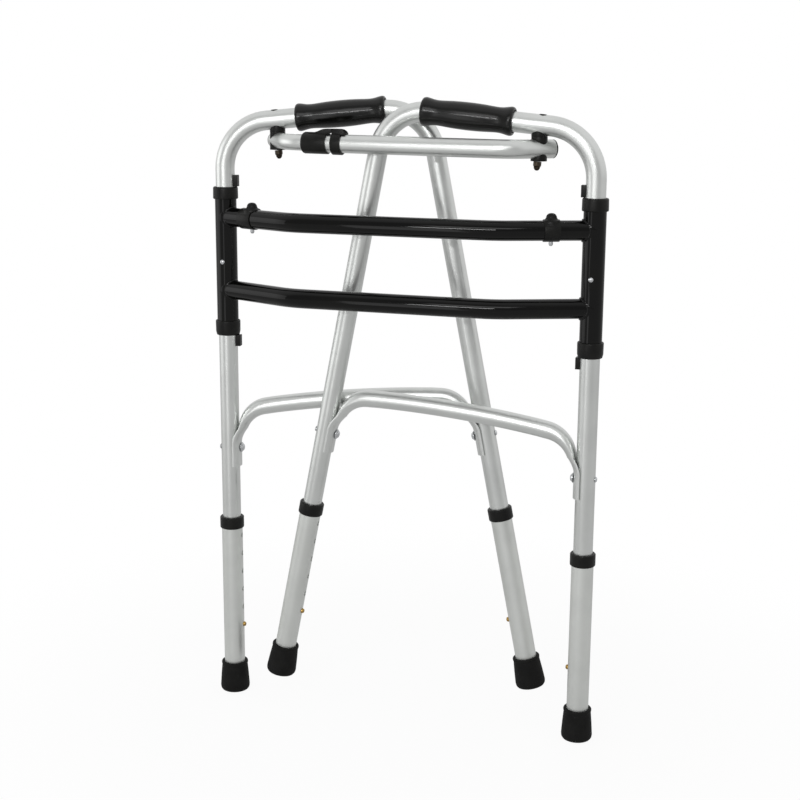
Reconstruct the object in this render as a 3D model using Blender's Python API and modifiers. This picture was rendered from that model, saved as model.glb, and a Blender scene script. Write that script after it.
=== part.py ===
"""Reciprocal walking frame, stored folded and standing on its two front feet.

Two bent tube side frames turn inside the sleeves of a black front frame. A telescopic link
under the handles ties the side frames together, and each leg has a sliding lower tube with a
spring button and a rubber foot. Lengths are metres, angles are radians, +Z is up and the front
of the walker looks along -Y.
"""
import math

import bmesh
import bpy
from mathutils import Matrix, Vector

# Driving dimensions: side frame
SLEEVE_SPACING = 0.500
HANDLE_SPAN = 0.2737
LEG_LENGTH = 0.802
LEG_SPLAY = math.radians(5.53)
MAIN_DIAMETER = 0.0254
MAIN_WALL = 0.0012
MAIN_BEND_RADIUS = 0.064
RIGHT_REST_ANGLE = math.radians(-0.5)
LEFT_REST_ANGLE = math.radians(8.6)
FOLDED_MIDDLE = 0.0116

# Driving dimensions: adjustable legs
LOWER_DIAMETER = 0.0290
LOWER_WALL = 0.0014
LOWER_TOP = 0.2581
HOLE_PITCH = 0.0267
HOLE_COUNT = 6
BUTTON_HEIGHT = 0.0988
BUTTON_DIAMETER = 0.0066
BUTTON_REACH = 0.0032
MAIN_TUBE_END = 0.070
LEG_COLLAR_DIAMETER = 0.0334
LEG_COLLAR_BOTTOM = 0.2434
LEG_COLLAR_TOP = 0.2601
FOOT_HEIGHT = 0.0430
FOOT_FLOOR = 0.006
FOOT_TOP_DIAMETER = 0.0374
FOOT_BASE_DIAMETER = 0.0420
REAR_LEG_DROP = 0.0034

# Driving dimensions: front frame
SLEEVE_DIAMETER = 0.0288
SLEEVE_WALL = 0.0013
SLEEVE_LENGTH = 0.1975
SLEEVE_DROP = 0.0840
SLEEVE_TOP = LEG_LENGTH - SLEEVE_DROP
SLEEVE_BOTTOM = SLEEVE_TOP - SLEEVE_LENGTH
SLEEVE_COLLAR_DIAMETER = 0.0336
TOP_COLLAR_HEIGHT = 0.0163
BOTTOM_COLLAR_HEIGHT = 0.0200
COLLAR_LIP = 0.0018
STOP_REACH = 0.0058
STOP_WIDTH = 0.0080
STOP_HEIGHT = 0.0150
STOP_PEG_DIAMETER = 0.0050
RIVET_DROP = 0.0980
RIVET_HEIGHT = SLEEVE_TOP - RIVET_DROP
RIVET_DIAMETER = 0.0050
RIVET_SHANK = 0.0030
CROSS_DIAMETER = 0.0252
CROSS_WALL = 0.0012
CROSS_BOW = 0.0488
CROSS_END_ANGLE = math.radians(23.2)
CROSS_BEND_RADIUS = 0.090
UPPER_CROSS_DROP = 0.0380
LOWER_CROSS_DROP = 0.1361
UPPER_CROSS_HEIGHT = SLEEVE_TOP - UPPER_CROSS_DROP
LOWER_CROSS_HEIGHT = SLEEVE_TOP - LOWER_CROSS_DROP
CLIP_OFFSET = 0.202
CLIP_SADDLE_DIAMETER = 0.0230
CLIP_SADDLE_HEIGHT = 0.0150
CLIP_KNOB_DIAMETER = 0.0116
CLIP_KNOB_RISE = 0.0085
CLIP_BOLT_DIAMETER = 0.0054
CLIP_BOLT_REACH = 0.0083

# Driving dimensions: brace of a side frame
BRACE_DIAMETER = 0.0230
BRACE_WALL = 0.0012
BRACE_SEAT_HEIGHT = 0.3605
BRACE_RISE = 0.0587
BRACE_CROWN = BRACE_SEAT_HEIGHT + BRACE_RISE
BRACE_ARCH = 0.32
BRACE_TAIL = 0.026
BRACE_BEND_RADIUS = 0.034
BRACE_BEND_PRESS = (0.0, 0.03, 0.10, 0.22, 0.38, 0.56)
BRACE_PRESSED_THICKNESS = 0.0028
BRACE_WRAP_ANGLE = math.radians(68)
BRACE_BOLT_DIAMETER = 0.0048
BRACE_BOLT_HEAD = 0.0098
BRACE_WASHER_DIAMETER = 0.0118

# Driving dimensions: grips
GRIP_CENTRES = {"left": 0.1595, "right": 0.1655}
GRIP_LENGTH = 0.1195
GRIP_NECK_DIAMETER = 0.0314
GRIP_BELLY_DIAMETER = 0.0352
GRIP_FLARE_DIAMETER = 0.0366
GRIP_FLARE_LENGTH = 0.0075

# Driving dimensions: telescopic link
PIVOT_DISTANCE = 0.0728
LINK_DROP = 0.0225
LINK_HEIGHT = LEG_LENGTH - LINK_DROP
LINK_OUTER_DIAMETER = 0.0234
LINK_OUTER_WALL = 0.0009
LINK_INNER_DIAMETER = 0.0208
LINK_INNER_WALL = 0.0012
LINK_BOW = 0.033
LINK_END_ANGLE = math.radians(48)
LINK_BEND_RADIUS = 0.042
LINK_TAIL = {"left": 0.0105, "right": 0.019}
LINK_MOUTH = 0.3008
LINK_INNER_REACH = 0.2440
PIVOT_BOLT_DIAMETER = 0.0054
PIVOT_HEAD_DIAMETER = 0.0090
PIVOT_HEAD_HEIGHT = 0.0040
ACCESS_HOLE_DIAMETER = 0.0100
SADDLE_DIAMETER = 0.0204
SADDLE_FLAT_RISE = {"left": 0.0115, "right": 0.0139}
SADDLE_BASE = {"left": 0.0049, "right": 0.0058}
NUT_DIAMETER = 0.0102
NUT_HEIGHT = 0.0112
PLUG_FLANGE = 0.0012
PLUG_DEPTH = {"left": 0.0045, "right": 0.008}
PLUG_WALL = 0.0016
LOCK_SLEEVE_LENGTH = 0.0390
LOCK_SLEEVE_LIP = 0.0050
LOCK_SLEEVE_DIAMETER = 0.0276
LOCK_BAND_START = 0.0405
LOCK_BAND_WIDTH = 0.0140
LOCK_BAND_DIAMETER = 0.0286
LOCK_BLOCK_WIDTH = 0.0130
LOCK_BLOCK_TOP = 0.0186
LOCK_BLOCK_TAIL = 0.0060
LOCK_RAMP_GAP = 0.0005

# Clearances
GAP = 0.0003
RUNNING_GAP = 0.00035
HOLE_GAP = 0.0004

# Counts of sides and steps
TUBE_SIDES = 14
BRACE_SIDES = 12
SMALL_SIDES = 12
BORE_SIDES = 20
BEND_STEPS = 6
TURN_STEPS = 14
SLEEVE_STEPS = 18

COLLECTION_NAME = "reciprocal_walker"

MATERIALS = {
    "anodised_aluminium": ((0.62, 0.63, 0.63), 0.32, 1.0),
    "lower_leg_aluminium": ((0.60, 0.61, 0.60), 0.42, 1.0),
    "black_powder_coat": ((0.008, 0.008, 0.009), 0.22, 0.0),
    "black_moulded_plastic": ((0.013, 0.013, 0.013), 0.5, 0.0),
    "black_grip_vinyl": ((0.012, 0.012, 0.012), 0.45, 0.0),
    "black_rubber": ((0.014, 0.014, 0.014), 0.7, 0.0),
    "zinc_steel": ((0.55, 0.56, 0.58), 0.3, 1.0),
    "dark_nut_steel": ((0.06, 0.05, 0.04), 0.35, 1.0),
    "brass": ((0.60, 0.42, 0.16), 0.3, 1.0),
}


def clear_scene():
    """Remove every object, so that the model starts from nothing."""
    for item in list(bpy.data.objects):
        bpy.data.objects.remove(item, do_unlink=True)


def make_collection(name, hidden=False):
    """A new collection in the scene."""
    collection = bpy.data.collections.new(name)
    bpy.context.scene.collection.children.link(collection)
    collection.hide_render = hidden
    return collection


def material(name):
    """The material of that name, made the first time it is asked for."""
    found = bpy.data.materials.get(name)
    if found:
        return found
    colour, roughness, metallic = MATERIALS[name]
    made = bpy.data.materials.new(name)
    made.use_nodes = True
    shader = made.node_tree.nodes["Principled BSDF"]
    shader.inputs["Base Color"].default_value = (*colour, 1.0)
    shader.inputs["Roughness"].default_value = roughness
    shader.inputs["Metallic"].default_value = metallic
    return made


clear_scene()
PARTS = make_collection(COLLECTION_NAME)
CUTTERS = make_collection("cutters", hidden=True)


def empty(name, parent=None, matrix=None):
    """An axis that pieces hang from."""
    axis = bpy.data.objects.new(name, None)
    axis.empty_display_size = 0.03
    PARTS.objects.link(axis)
    axis.parent = parent
    axis.matrix_local = matrix or Matrix.Identity(4)
    return axis


def add_piece(name, mesh, finish, parent, matrix=None):
    """Put a mesh in the scene as a named piece with its own material."""
    piece = bpy.data.objects.new(name, mesh)
    PARTS.objects.link(piece)
    piece.data.materials.clear()
    piece.data.materials.append(material(finish))
    piece.parent = parent
    piece.matrix_local = matrix or Matrix.Identity(4)
    return piece


def add_cutter(name, mesh, parent, matrix=None):
    """Put a mesh in the scene as a cutter, which isn't a piece."""
    cutter = bpy.data.objects.new(name, mesh)
    CUTTERS.objects.link(cutter)
    cutter.hide_render = True
    cutter.display_type = "WIRE"
    cutter.parent = parent
    cutter.matrix_local = matrix or Matrix.Identity(4)
    return cutter


def boolean(piece, other, operation="DIFFERENCE"):
    """Cut a piece by another object, or join it on."""
    step = piece.modifiers.new(operation.lower(), "BOOLEAN")
    step.operation = operation
    step.object = other
    step.solver = "EXACT"
    return step


def along(start, end):
    """The matrix that stands local Z on the line from start to end, with its origin at start."""
    line = Vector(end) - Vector(start)
    turn = line.to_track_quat("Z", "Y").to_matrix().to_4x4()
    return Matrix.Translation(start) @ turn


def cylinder_mesh(name, diameter, length, sides=SMALL_SIDES):
    """A solid cylinder on local Z that starts at the origin."""
    shape = bmesh.new()
    centre = Matrix.Translation((0, 0, length / 2))
    bmesh.ops.create_cone(
        shape,
        cap_ends=True,
        segments=sides,
        radius1=diameter / 2,
        radius2=diameter / 2,
        depth=length,
        matrix=centre,
    )
    mesh = bpy.data.meshes.new(name)
    shape.to_mesh(mesh)
    shape.free()
    return mesh


def box_mesh(name, low, high):
    """A box between two corners."""
    low, high = Vector(low), Vector(high)
    shape = bmesh.new()
    bmesh.ops.create_cube(shape, size=1.0)
    bmesh.ops.scale(shape, vec=high - low, verts=shape.verts)
    bmesh.ops.translate(shape, vec=(low + high) / 2, verts=shape.verts)
    mesh = bpy.data.meshes.new(name)
    shape.to_mesh(mesh)
    shape.free()
    return mesh


def cylinder_cutter(piece, name, start, end, diameter, sides=SMALL_SIDES):
    """Cut a round hole through a piece, from start to end in the frame of the piece's parent."""
    length = (Vector(end) - Vector(start)).length
    mesh = cylinder_mesh(name, diameter, length, sides)
    cutter = add_cutter(name, mesh, piece.parent, along(start, end))
    boolean(piece, cutter)
    return cutter


def smooth(mesh, angle=math.radians(35)):
    """Shade round faces smooth and keep the edges sharper than the angle."""
    mesh.shade_smooth()
    mesh.set_sharp_from_angle(angle=angle)


def turned(name, profile, finish, parent, matrix=None, steps=TURN_STEPS):
    """A turned piece from a closed profile of (radius, height), which runs down its outer side."""
    shape = bmesh.new()
    corners = [shape.verts.new((radius, 0, height)) for radius, height in profile]
    on_axis = [radius == 0 for radius, _ in profile]
    for index, corner in enumerate(corners):
        following = (index + 1) % len(corners)
        if not (on_axis[index] and on_axis[following]):
            shape.edges.new((corner, corners[following]))
    mesh = bpy.data.meshes.new(name)
    shape.to_mesh(mesh)
    shape.free()
    piece = add_piece(name, mesh, finish, parent, matrix)
    screw = piece.modifiers.new("turn", "SCREW")
    screw.axis = "Z"
    screw.angle = math.tau
    screw.steps = steps
    screw.render_steps = steps
    screw.use_merge_vertices = True
    screw.merge_threshold = 0.00001
    screw.use_smooth_shade = True
    return piece


def ringed_mesh(name, rings, sides=SMALL_SIDES):
    """A closed solid on local Z through rings of (radius, height), from its base to its top."""
    shape = bmesh.new()
    made = []
    for radius, height in rings:
        ring = []
        for step in range(sides):
            angle = math.tau * step / sides
            ring.append(shape.verts.new((radius * math.cos(angle), radius * math.sin(angle), height)))
        made.append(ring)
    for low, high in zip(made, made[1:]):
        for index in range(sides):
            following = (index + 1) % sides
            shape.faces.new((low[index], low[following], high[following], high[index]))
    shape.faces.new(reversed(made[0]))
    shape.faces.new(made[-1])
    mesh = bpy.data.meshes.new(name)
    shape.to_mesh(mesh)
    shape.free()
    return mesh


def dome(radius, base, rise, steps=3):
    """Profile points of a dome, from its top on the axis down to its rim."""
    points = []
    for step in range(steps + 1):
        angle = math.pi / 2 * step / steps
        points.append((radius * math.sin(angle), base + rise * math.cos(angle)))
    return points


def rounded_path(corners, radius, steps=BEND_STEPS):
    """The points of a path whose inner corners are arcs of one radius."""
    corners = [Vector(corner) for corner in corners]
    points = [corners[0]]
    for before, corner, after in zip(corners, corners[1:], corners[2:]):
        entering = (corner - before).normalized()
        leaving = (after - corner).normalized()
        turn = entering.angle(leaving)
        inward = (leaving - entering).normalized()
        centre = corner + inward * radius / math.cos(turn / 2)
        start = corner - entering * radius * math.tan(turn / 2) - centre
        axis = entering.cross(leaving).normalized()
        for step in range(steps + 1):
            points.append(centre + Matrix.Rotation(turn * step / steps, 3, axis) @ start)
    points.append(corners[-1])
    return points


def tube(name, points, diameter, wall, finish, parent, sides=TUBE_SIDES):
    """A hollow tube along a path: a bevelled curve without caps, made a mesh, with a wall."""
    curve = bpy.data.curves.new(name + "_line", "CURVE")
    curve.dimensions = "3D"
    curve.bevel_depth = diameter / 2
    curve.bevel_resolution = sides // 2 - 2
    curve.use_fill_caps = False
    line = curve.splines.new("POLY")
    line.points.add(len(points) - 1)
    for place, point in zip(line.points, points):
        place.co = (*point, 1.0)
    guide = bpy.data.objects.new(name + "_line", curve)
    PARTS.objects.link(guide)
    evaluated = guide.evaluated_get(bpy.context.evaluated_depsgraph_get())
    mesh = bpy.data.meshes.new_from_object(evaluated)
    bpy.data.objects.remove(guide)
    outward(mesh, Vector(points[0]))
    mesh.name = name
    smooth(mesh)
    piece = add_piece(name, mesh, finish, parent)
    shell = piece.modifiers.new("wall", "SOLIDIFY")
    shell.thickness = wall
    shell.offset = -1.0
    return piece


def outward(mesh, axis_point):
    """Turn an open tube's faces outwards, judged at its face nearest to a point on its axis."""
    nearest = min(mesh.polygons, key=lambda face: (face.center - axis_point).length)
    if nearest.normal.dot(nearest.center - axis_point) < 0:
        mesh.flip_normals()


def loft(name, outer, inner, finish, parent):
    """A hollow piece through matching rings of points, open at both ends of its bore."""
    shape = bmesh.new()
    outer_rings = [[shape.verts.new(point) for point in ring] for ring in outer]
    inner_rings = [[shape.verts.new(point) for point in ring] for ring in inner]
    count = len(outer[0])
    for rings, flip in ((outer_rings, False), (inner_rings, True)):
        for low, high in zip(rings, rings[1:]):
            for index in range(count):
                following = (index + 1) % count
                face = [low[index], low[following], high[following], high[index]]
                shape.faces.new(reversed(face) if flip else face)
    for end, flip in ((0, True), (-1, False)):
        for index in range(count):
            following = (index + 1) % count
            face = [
                outer_rings[end][index],
                outer_rings[end][following],
                inner_rings[end][following],
                inner_rings[end][index],
            ]
            shape.faces.new(reversed(face) if flip else face)
    if shape.calc_volume(signed=True) < 0:
        bmesh.ops.reverse_faces(shape, faces=shape.faces)
    mesh = bpy.data.meshes.new(name)
    shape.to_mesh(mesh)
    shape.free()
    smooth(mesh)
    return add_piece(name, mesh, finish, parent)


def leg_matrix(foot, lean, inward):
    """The matrix of a leg's axis: origin under its foot, Z up the leg, X towards the other leg."""
    up = Vector((-math.sin(lean) * -inward, 0, math.cos(lean)))
    across = Vector((inward * math.cos(lean), 0, -math.sin(lean)))
    side = up.cross(across)
    turn = Matrix((across, side, up)).transposed().to_4x4()
    return Matrix.Translation(foot) @ turn


def frame_point(along_u, height_v, depth=0.0):
    """A point of a side frame from the coordinates in which its two legs splay evenly."""
    s = along_u * math.cos(LEG_SPLAY) - height_v * math.sin(LEG_SPLAY)
    z = along_u * math.sin(LEG_SPLAY) + height_v * math.cos(LEG_SPLAY)
    return Vector((s, depth, z))


FRONT_CORNER = Vector((0, 0, LEG_LENGTH))
HANDLE_LINE = Vector((math.cos(LEG_SPLAY), 0, math.sin(LEG_SPLAY)))
REAR_CORNER = FRONT_CORNER + HANDLE_LINE * HANDLE_SPAN
REAR_LEG_DOWN = Vector((math.sin(2 * LEG_SPLAY), 0, -math.cos(2 * LEG_SPLAY)))
REAR_FOOT = REAR_CORNER + REAR_LEG_DOWN * LEG_LENGTH
FRAME_MIDDLE = LEG_LENGTH * math.sin(LEG_SPLAY) + HANDLE_SPAN / 2


def front_frame():
    """The black front frame: sleeves, their collars and rivets, cross tubes and clips."""
    for side, sign in (("left", -1), ("right", 1)):
        axis = empty(side + "_sleeve_axis", matrix=Matrix.Translation((sign * SLEEVE_SPACING / 2, 0, 0)))
        outer = SLEEVE_DIAMETER / 2
        bore = outer - SLEEVE_WALL
        profile = [
            (outer, SLEEVE_TOP),
            (outer, SLEEVE_BOTTOM),
            (bore, SLEEVE_BOTTOM),
            (bore, SLEEVE_TOP),
        ]
        sleeve = turned(side + "_sleeve", profile, "black_powder_coat", axis, steps=SLEEVE_STEPS)
        start = (0, -outer - 0.002, RIVET_HEIGHT)
        end = (0, 0, RIVET_HEIGHT)
        cylinder_cutter(sleeve, side + "_rivet_hole", start, end, RIVET_SHANK + 2 * GAP)
        sleeve_collars(side, axis)
        sleeve_rivet(side, axis)
    for name, height in (("upper_cross_tube", UPPER_CROSS_HEIGHT), ("lower_cross_tube", LOWER_CROSS_HEIGHT)):
        cross_tube(name, height)
    for side, sign in (("left", -1), ("right", 1)):
        cross_tube_clip(side, sign)


def sleeve_collars(side, axis):
    """The two moulded collars over the ends of a sleeve, each with a lip over the tube's end."""
    outer = SLEEVE_COLLAR_DIAMETER / 2
    seat = SLEEVE_DIAMETER / 2 + GAP
    lip = MAIN_DIAMETER / 2 + RUNNING_GAP
    round_over = 0.0012
    top = SLEEVE_TOP + GAP + COLLAR_LIP
    bottom = top - TOP_COLLAR_HEIGHT
    profile = [
        (lip, top),
        (outer - round_over, top),
        (outer, top - round_over),
        (outer, bottom + round_over / 2),
        (outer - round_over / 2, bottom),
        (seat, bottom),
        (seat, SLEEVE_TOP + GAP),
        (lip, SLEEVE_TOP + GAP),
    ]
    turned(side + "_top_collar", profile, "black_moulded_plastic", axis, steps=SLEEVE_STEPS)
    bottom = SLEEVE_BOTTOM - GAP - COLLAR_LIP
    top = bottom + BOTTOM_COLLAR_HEIGHT
    profile = [
        (outer - round_over / 2, top),
        (outer, top - round_over / 2),
        (outer, bottom + round_over),
        (outer - round_over, bottom),
        (lip, bottom),
        (lip, SLEEVE_BOTTOM - GAP),
        (seat, SLEEVE_BOTTOM - GAP),
        (seat, top),
    ]
    turned(side + "_bottom_collar", profile, "black_moulded_plastic", axis, steps=SLEEVE_STEPS)


def sleeve_rivet(side, axis):
    """A domed rivet that faces forward in the sleeve's wall."""
    head = RIVET_DIAMETER / 2
    shank = RIVET_SHANK / 2
    face = SLEEVE_DIAMETER / 2 + 0.0001
    inner = SLEEVE_DIAMETER / 2 - SLEEVE_WALL + 0.0001
    profile = [*dome(head, face, 0.0012), (shank, face), (shank, inner), (0, inner)]
    forward = along((0, 0, RIVET_HEIGHT), (0, -1, RIVET_HEIGHT))
    turned(side + "_sleeve_rivet", profile, "zinc_steel", axis, forward, steps=12)


def cross_tube(name, height):
    """A cross tube: straight in front, angled back at its ends and coped to the sleeves."""
    half = SLEEVE_SPACING / 2
    corner = half - CROSS_BOW / math.tan(CROSS_END_ANGLE)
    corners = [
        (-half, 0, height),
        (-corner, -CROSS_BOW, height),
        (corner, -CROSS_BOW, height),
        (half, 0, height),
    ]
    points = rounded_path(corners, CROSS_BEND_RADIUS, steps=4)
    piece = tube(name, points, CROSS_DIAMETER, CROSS_WALL, "black_powder_coat", None)
    for side, sign in (("left", -1), ("right", 1)):
        start = (sign * half, 0, height - CROSS_DIAMETER)
        end = (sign * half, 0, height + CROSS_DIAMETER)
        cope = SLEEVE_DIAMETER + 2 * GAP
        cylinder_cutter(piece, name + "_" + side + "_cope", start, end, cope, sides=BORE_SIDES)
    if height == UPPER_CROSS_HEIGHT:
        for side, sign in (("left", -1), ("right", 1)):
            place = clip_place(sign)
            low = place @ Vector((0, 0, -CROSS_DIAMETER))
            high = place @ Vector((0, 0, CROSS_DIAMETER))
            cylinder_cutter(piece, side + "_clip_hole", low, high, CLIP_BOLT_DIAMETER + 2 * GAP)
    return piece


def clip_place(sign):
    """Where a clip sits on the upper cross tube: X along the tube, Z up."""
    back = (SLEEVE_SPACING / 2 - CLIP_OFFSET) * math.tan(CROSS_END_ANGLE)
    centre = Vector((sign * CLIP_OFFSET, -back, UPPER_CROSS_HEIGHT))
    turn = Matrix.Rotation(sign * CROSS_END_ANGLE, 4, "Z")
    return Matrix.Translation(centre) @ turn


def cross_tube_clip(side, sign):
    """A moulded saddle on the upper cross tube with a domed knob, and the pin through it."""
    place = clip_place(sign)
    axis = empty(side + "_clip_axis", matrix=place)
    bore = CROSS_DIAMETER / 2 + GAP
    top = CROSS_DIAMETER / 2 + CLIP_KNOB_RISE
    saddle = CLIP_SADDLE_DIAMETER / 2
    radius = CLIP_KNOB_DIAMETER / 2
    rings = [
        (saddle, bore - 0.0048),
        (saddle, bore - 0.0012),
        (saddle * 0.84, bore + 0.0008),
        (radius + 0.0010, CLIP_SADDLE_HEIGHT),
        (radius, CLIP_SADDLE_HEIGHT + 0.0010),
        (radius, top - 0.0036),
        (radius * 0.84, top - 0.0014),
        (radius * 0.45, top),
    ]
    mesh = ringed_mesh(side + "_cross_tube_clip", rings, sides=16)
    smooth(mesh)
    clip = add_piece(side + "_cross_tube_clip", mesh, "black_moulded_plastic", axis)
    start = (-CLIP_SADDLE_DIAMETER, 0, 0)
    end = (CLIP_SADDLE_DIAMETER, 0, 0)
    cylinder_cutter(clip, side + "_clip_bore", start, end, 2 * bore, sides=BORE_SIDES)
    hole = CLIP_BOLT_DIAMETER + 2 * GAP
    cylinder_cutter(clip, side + "_clip_pin_hole", (0, 0, 0), (0, 0, top - 0.0030), hole)
    radius = CLIP_BOLT_DIAMETER / 2
    low = -CROSS_DIAMETER / 2 - CLIP_BOLT_REACH
    high = top - 0.0033
    rim = [(x, -z) for x, z in reversed(dome(radius, -low - 0.0025, 0.0025, steps=2))]
    profile = [(0, high), (radius, high), *rim]
    turned(side + "_clip_pin", profile, "zinc_steel", axis, steps=12)


def side_frame(side, hinge, stand):
    """One side frame: bent tube, grip, brace, stops, and the legs' sliding parts.

    Stand is the matrix of the frame's hinge, which it shares with the bolt of the link's open end.
    """
    low_front = Vector((0, 0, MAIN_TUBE_END))
    rear_slide_foot = REAR_FOOT + REAR_LEG_DOWN * REAR_LEG_DROP
    low_rear = rear_slide_foot - REAR_LEG_DOWN * MAIN_TUBE_END
    corners = [low_front, FRONT_CORNER, REAR_CORNER, low_rear]
    points = rounded_path(corners, MAIN_BEND_RADIUS)
    main = tube(side + "_side_tube", points, MAIN_DIAMETER, MAIN_WALL, "anodised_aluminium", hinge)
    front_axis = empty(side + "_front_leg_axis", hinge, leg_matrix((0, 0, 0), 0, 1))
    rear_axis = empty(side + "_rear_leg_axis", hinge, leg_matrix(REAR_FOOT, 2 * LEG_SPLAY, -1))
    rear_slide = empty(side + "_rear_slide_axis", hinge, leg_matrix(rear_slide_foot, 2 * LEG_SPLAY, -1))
    for place, slide, axis in (("front", front_axis, front_axis), ("rear", rear_slide, rear_axis)):
        leg_holes(main, side + "_" + place, slide, axis)
        lower_leg(side + "_" + place, slide)
    frame_stops(side, main, front_axis)
    handle_grip(side, hinge)
    brace(side, hinge, front_axis, rear_axis)
    axis = empty(side + "_pivot_axis", hinge, pivot_place())
    pivot_holes(side, main, axis)
    bolt_axis = axis
    if side == "left":
        bolt_axis = empty("left_bolt_axis", matrix=stand @ pivot_place())
    pivot_hardware(side, axis, bolt_axis)


def leg_holes(main, name, slide, axis):
    """Cut the spring button's hole and the brace bolt's hole through a leg of the side tube.

    Slide is the axis of the lower leg, which hangs a little lower than the leg's own on the rear legs.
    """
    reach = MAIN_DIAMETER
    hole = BUTTON_DIAMETER + 2 * HOLE_GAP
    mesh = cylinder_mesh(name + "_button_hole", hole, reach)
    place = along((0, 0, BUTTON_HEIGHT), (1, 0, BUTTON_HEIGHT))
    boolean(main, add_cutter(name + "_button_hole", mesh, slide, place))
    hole = BRACE_BOLT_DIAMETER + 2 * HOLE_GAP
    mesh = cylinder_mesh(name + "_brace_hole", hole, 2 * reach, sides=8)
    place = along((-reach, 0, BRACE_SEAT_HEIGHT), (reach, 0, BRACE_SEAT_HEIGHT))
    boolean(main, add_cutter(name + "_brace_hole", mesh, axis, place))


def lower_leg(name, axis):
    """The sliding lower tube of a leg with its collar, its foot and its spring button."""
    outer = LOWER_DIAMETER / 2
    bore = outer - LOWER_WALL
    base = FOOT_FLOOR + GAP
    profile = [(outer, LOWER_TOP), (outer, base), (bore, base), (bore, LOWER_TOP)]
    leg = turned(name + "_lower_leg", profile, "lower_leg_aluminium", axis)
    holes = bmesh.new()
    hole = BUTTON_DIAMETER + 2 * HOLE_GAP
    for index in range(HOLE_COUNT):
        height = BUTTON_HEIGHT + index * HOLE_PITCH
        place = along((0.004, 0, height), (1, 0, height)) @ Matrix.Translation((0, 0, outer / 2))
        bmesh.ops.create_cone(
            holes,
            cap_ends=True,
            segments=10,
            radius1=hole / 2,
            radius2=hole / 2,
            depth=outer,
            matrix=place,
        )
    mesh = bpy.data.meshes.new(name + "_height_holes")
    holes.to_mesh(mesh)
    holes.free()
    boolean(leg, add_cutter(name + "_height_holes", mesh, axis))
    rim = LEG_COLLAR_DIAMETER / 2
    seat = outer + GAP
    lip = MAIN_DIAMETER / 2 + RUNNING_GAP
    profile = [
        (lip, LEG_COLLAR_TOP),
        (rim - 0.0012, LEG_COLLAR_TOP),
        (rim, LEG_COLLAR_TOP - 0.0012),
        (rim, LEG_COLLAR_BOTTOM + 0.0008),
        (rim - 0.0008, LEG_COLLAR_BOTTOM),
        (seat, LEG_COLLAR_BOTTOM),
        (seat, LOWER_TOP + GAP),
        (lip, LOWER_TOP + GAP),
    ]
    turned(name + "_leg_collar", profile, "black_moulded_plastic", axis)
    foot_top = FOOT_TOP_DIAMETER / 2
    foot_base = FOOT_BASE_DIAMETER / 2
    profile = [
        (seat, FOOT_HEIGHT),
        (foot_top - 0.0004, FOOT_HEIGHT),
        (foot_top, FOOT_HEIGHT - 0.0010),
        (foot_top, FOOT_HEIGHT - 0.0035),
        (foot_top - 0.0008, FOOT_HEIGHT - 0.0045),
        (foot_base - 0.0010, 0.0110),
        (foot_base, 0.0050),
        (foot_base - 0.0008, 0.0016),
        (foot_base - 0.0026, 0),
        (0, 0),
        (0, FOOT_FLOOR),
        (seat, FOOT_FLOOR),
    ]
    turned(name + "_foot", profile, "black_rubber", axis)
    spring_button(name, axis)


def spring_button(name, axis):
    """A brass button on a folded leaf spring, inside the main tube and out through both walls."""
    thickness = 0.0007
    width = 0.0076
    face = 0.0103
    fold_top = BUTTON_HEIGHT + 0.0300
    line = [
        (face, BUTTON_HEIGHT - 0.0060),
        (face, fold_top - 0.0040),
        (face - 0.0018, fold_top - 0.0010),
        (face - 0.0050, fold_top),
        (face - 0.0084, fold_top - 0.0014),
        (-0.0046, BUTTON_HEIGHT - 0.0040),
    ]
    inner = [
        (face - thickness, BUTTON_HEIGHT - 0.0060),
        (face - thickness, fold_top - 0.0043),
        (face - 0.0022, fold_top - 0.0016),
        (face - 0.0050, fold_top - thickness),
        (face - 0.0080, fold_top - 0.0019),
        (-0.0046 + thickness, BUTTON_HEIGHT - 0.0041),
    ]
    outline = line + inner[::-1]
    shape = bmesh.new()
    near = [shape.verts.new((x, -width / 2, z)) for x, z in outline]
    far = [shape.verts.new((x, width / 2, z)) for x, z in outline]
    count = len(line)
    for index in range(len(outline)):
        following = (index + 1) % len(outline)
        shape.faces.new((near[index], near[following], far[following], far[index]))
    for ring in (near, far):
        for index in range(count - 1):
            opposite = len(outline) - 1 - index
            shape.faces.new((ring[index], ring[index + 1], ring[opposite - 1], ring[opposite]))
    bmesh.ops.recalc_face_normals(shape, faces=shape.faces)
    mesh = bpy.data.meshes.new(name + "_spring_button")
    shape.to_mesh(mesh)
    shape.free()
    piece = add_piece(name + "_spring_button", mesh, "brass", axis)
    radius = BUTTON_DIAMETER / 2
    tip = LOWER_DIAMETER / 2 + BUTTON_REACH
    crown = 0.0020
    rings = [
        (radius, face - thickness / 2),
        (radius, tip - crown),
        (radius * 0.80, tip - crown * 0.40),
        (radius * 0.40, tip),
    ]
    head = ringed_mesh(name + "_button_head", rings)
    place = along((0, 0, BUTTON_HEIGHT), (1, 0, BUTTON_HEIGHT))
    boolean(piece, add_cutter(name + "_button_head", head, axis, place), "UNION")


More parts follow.
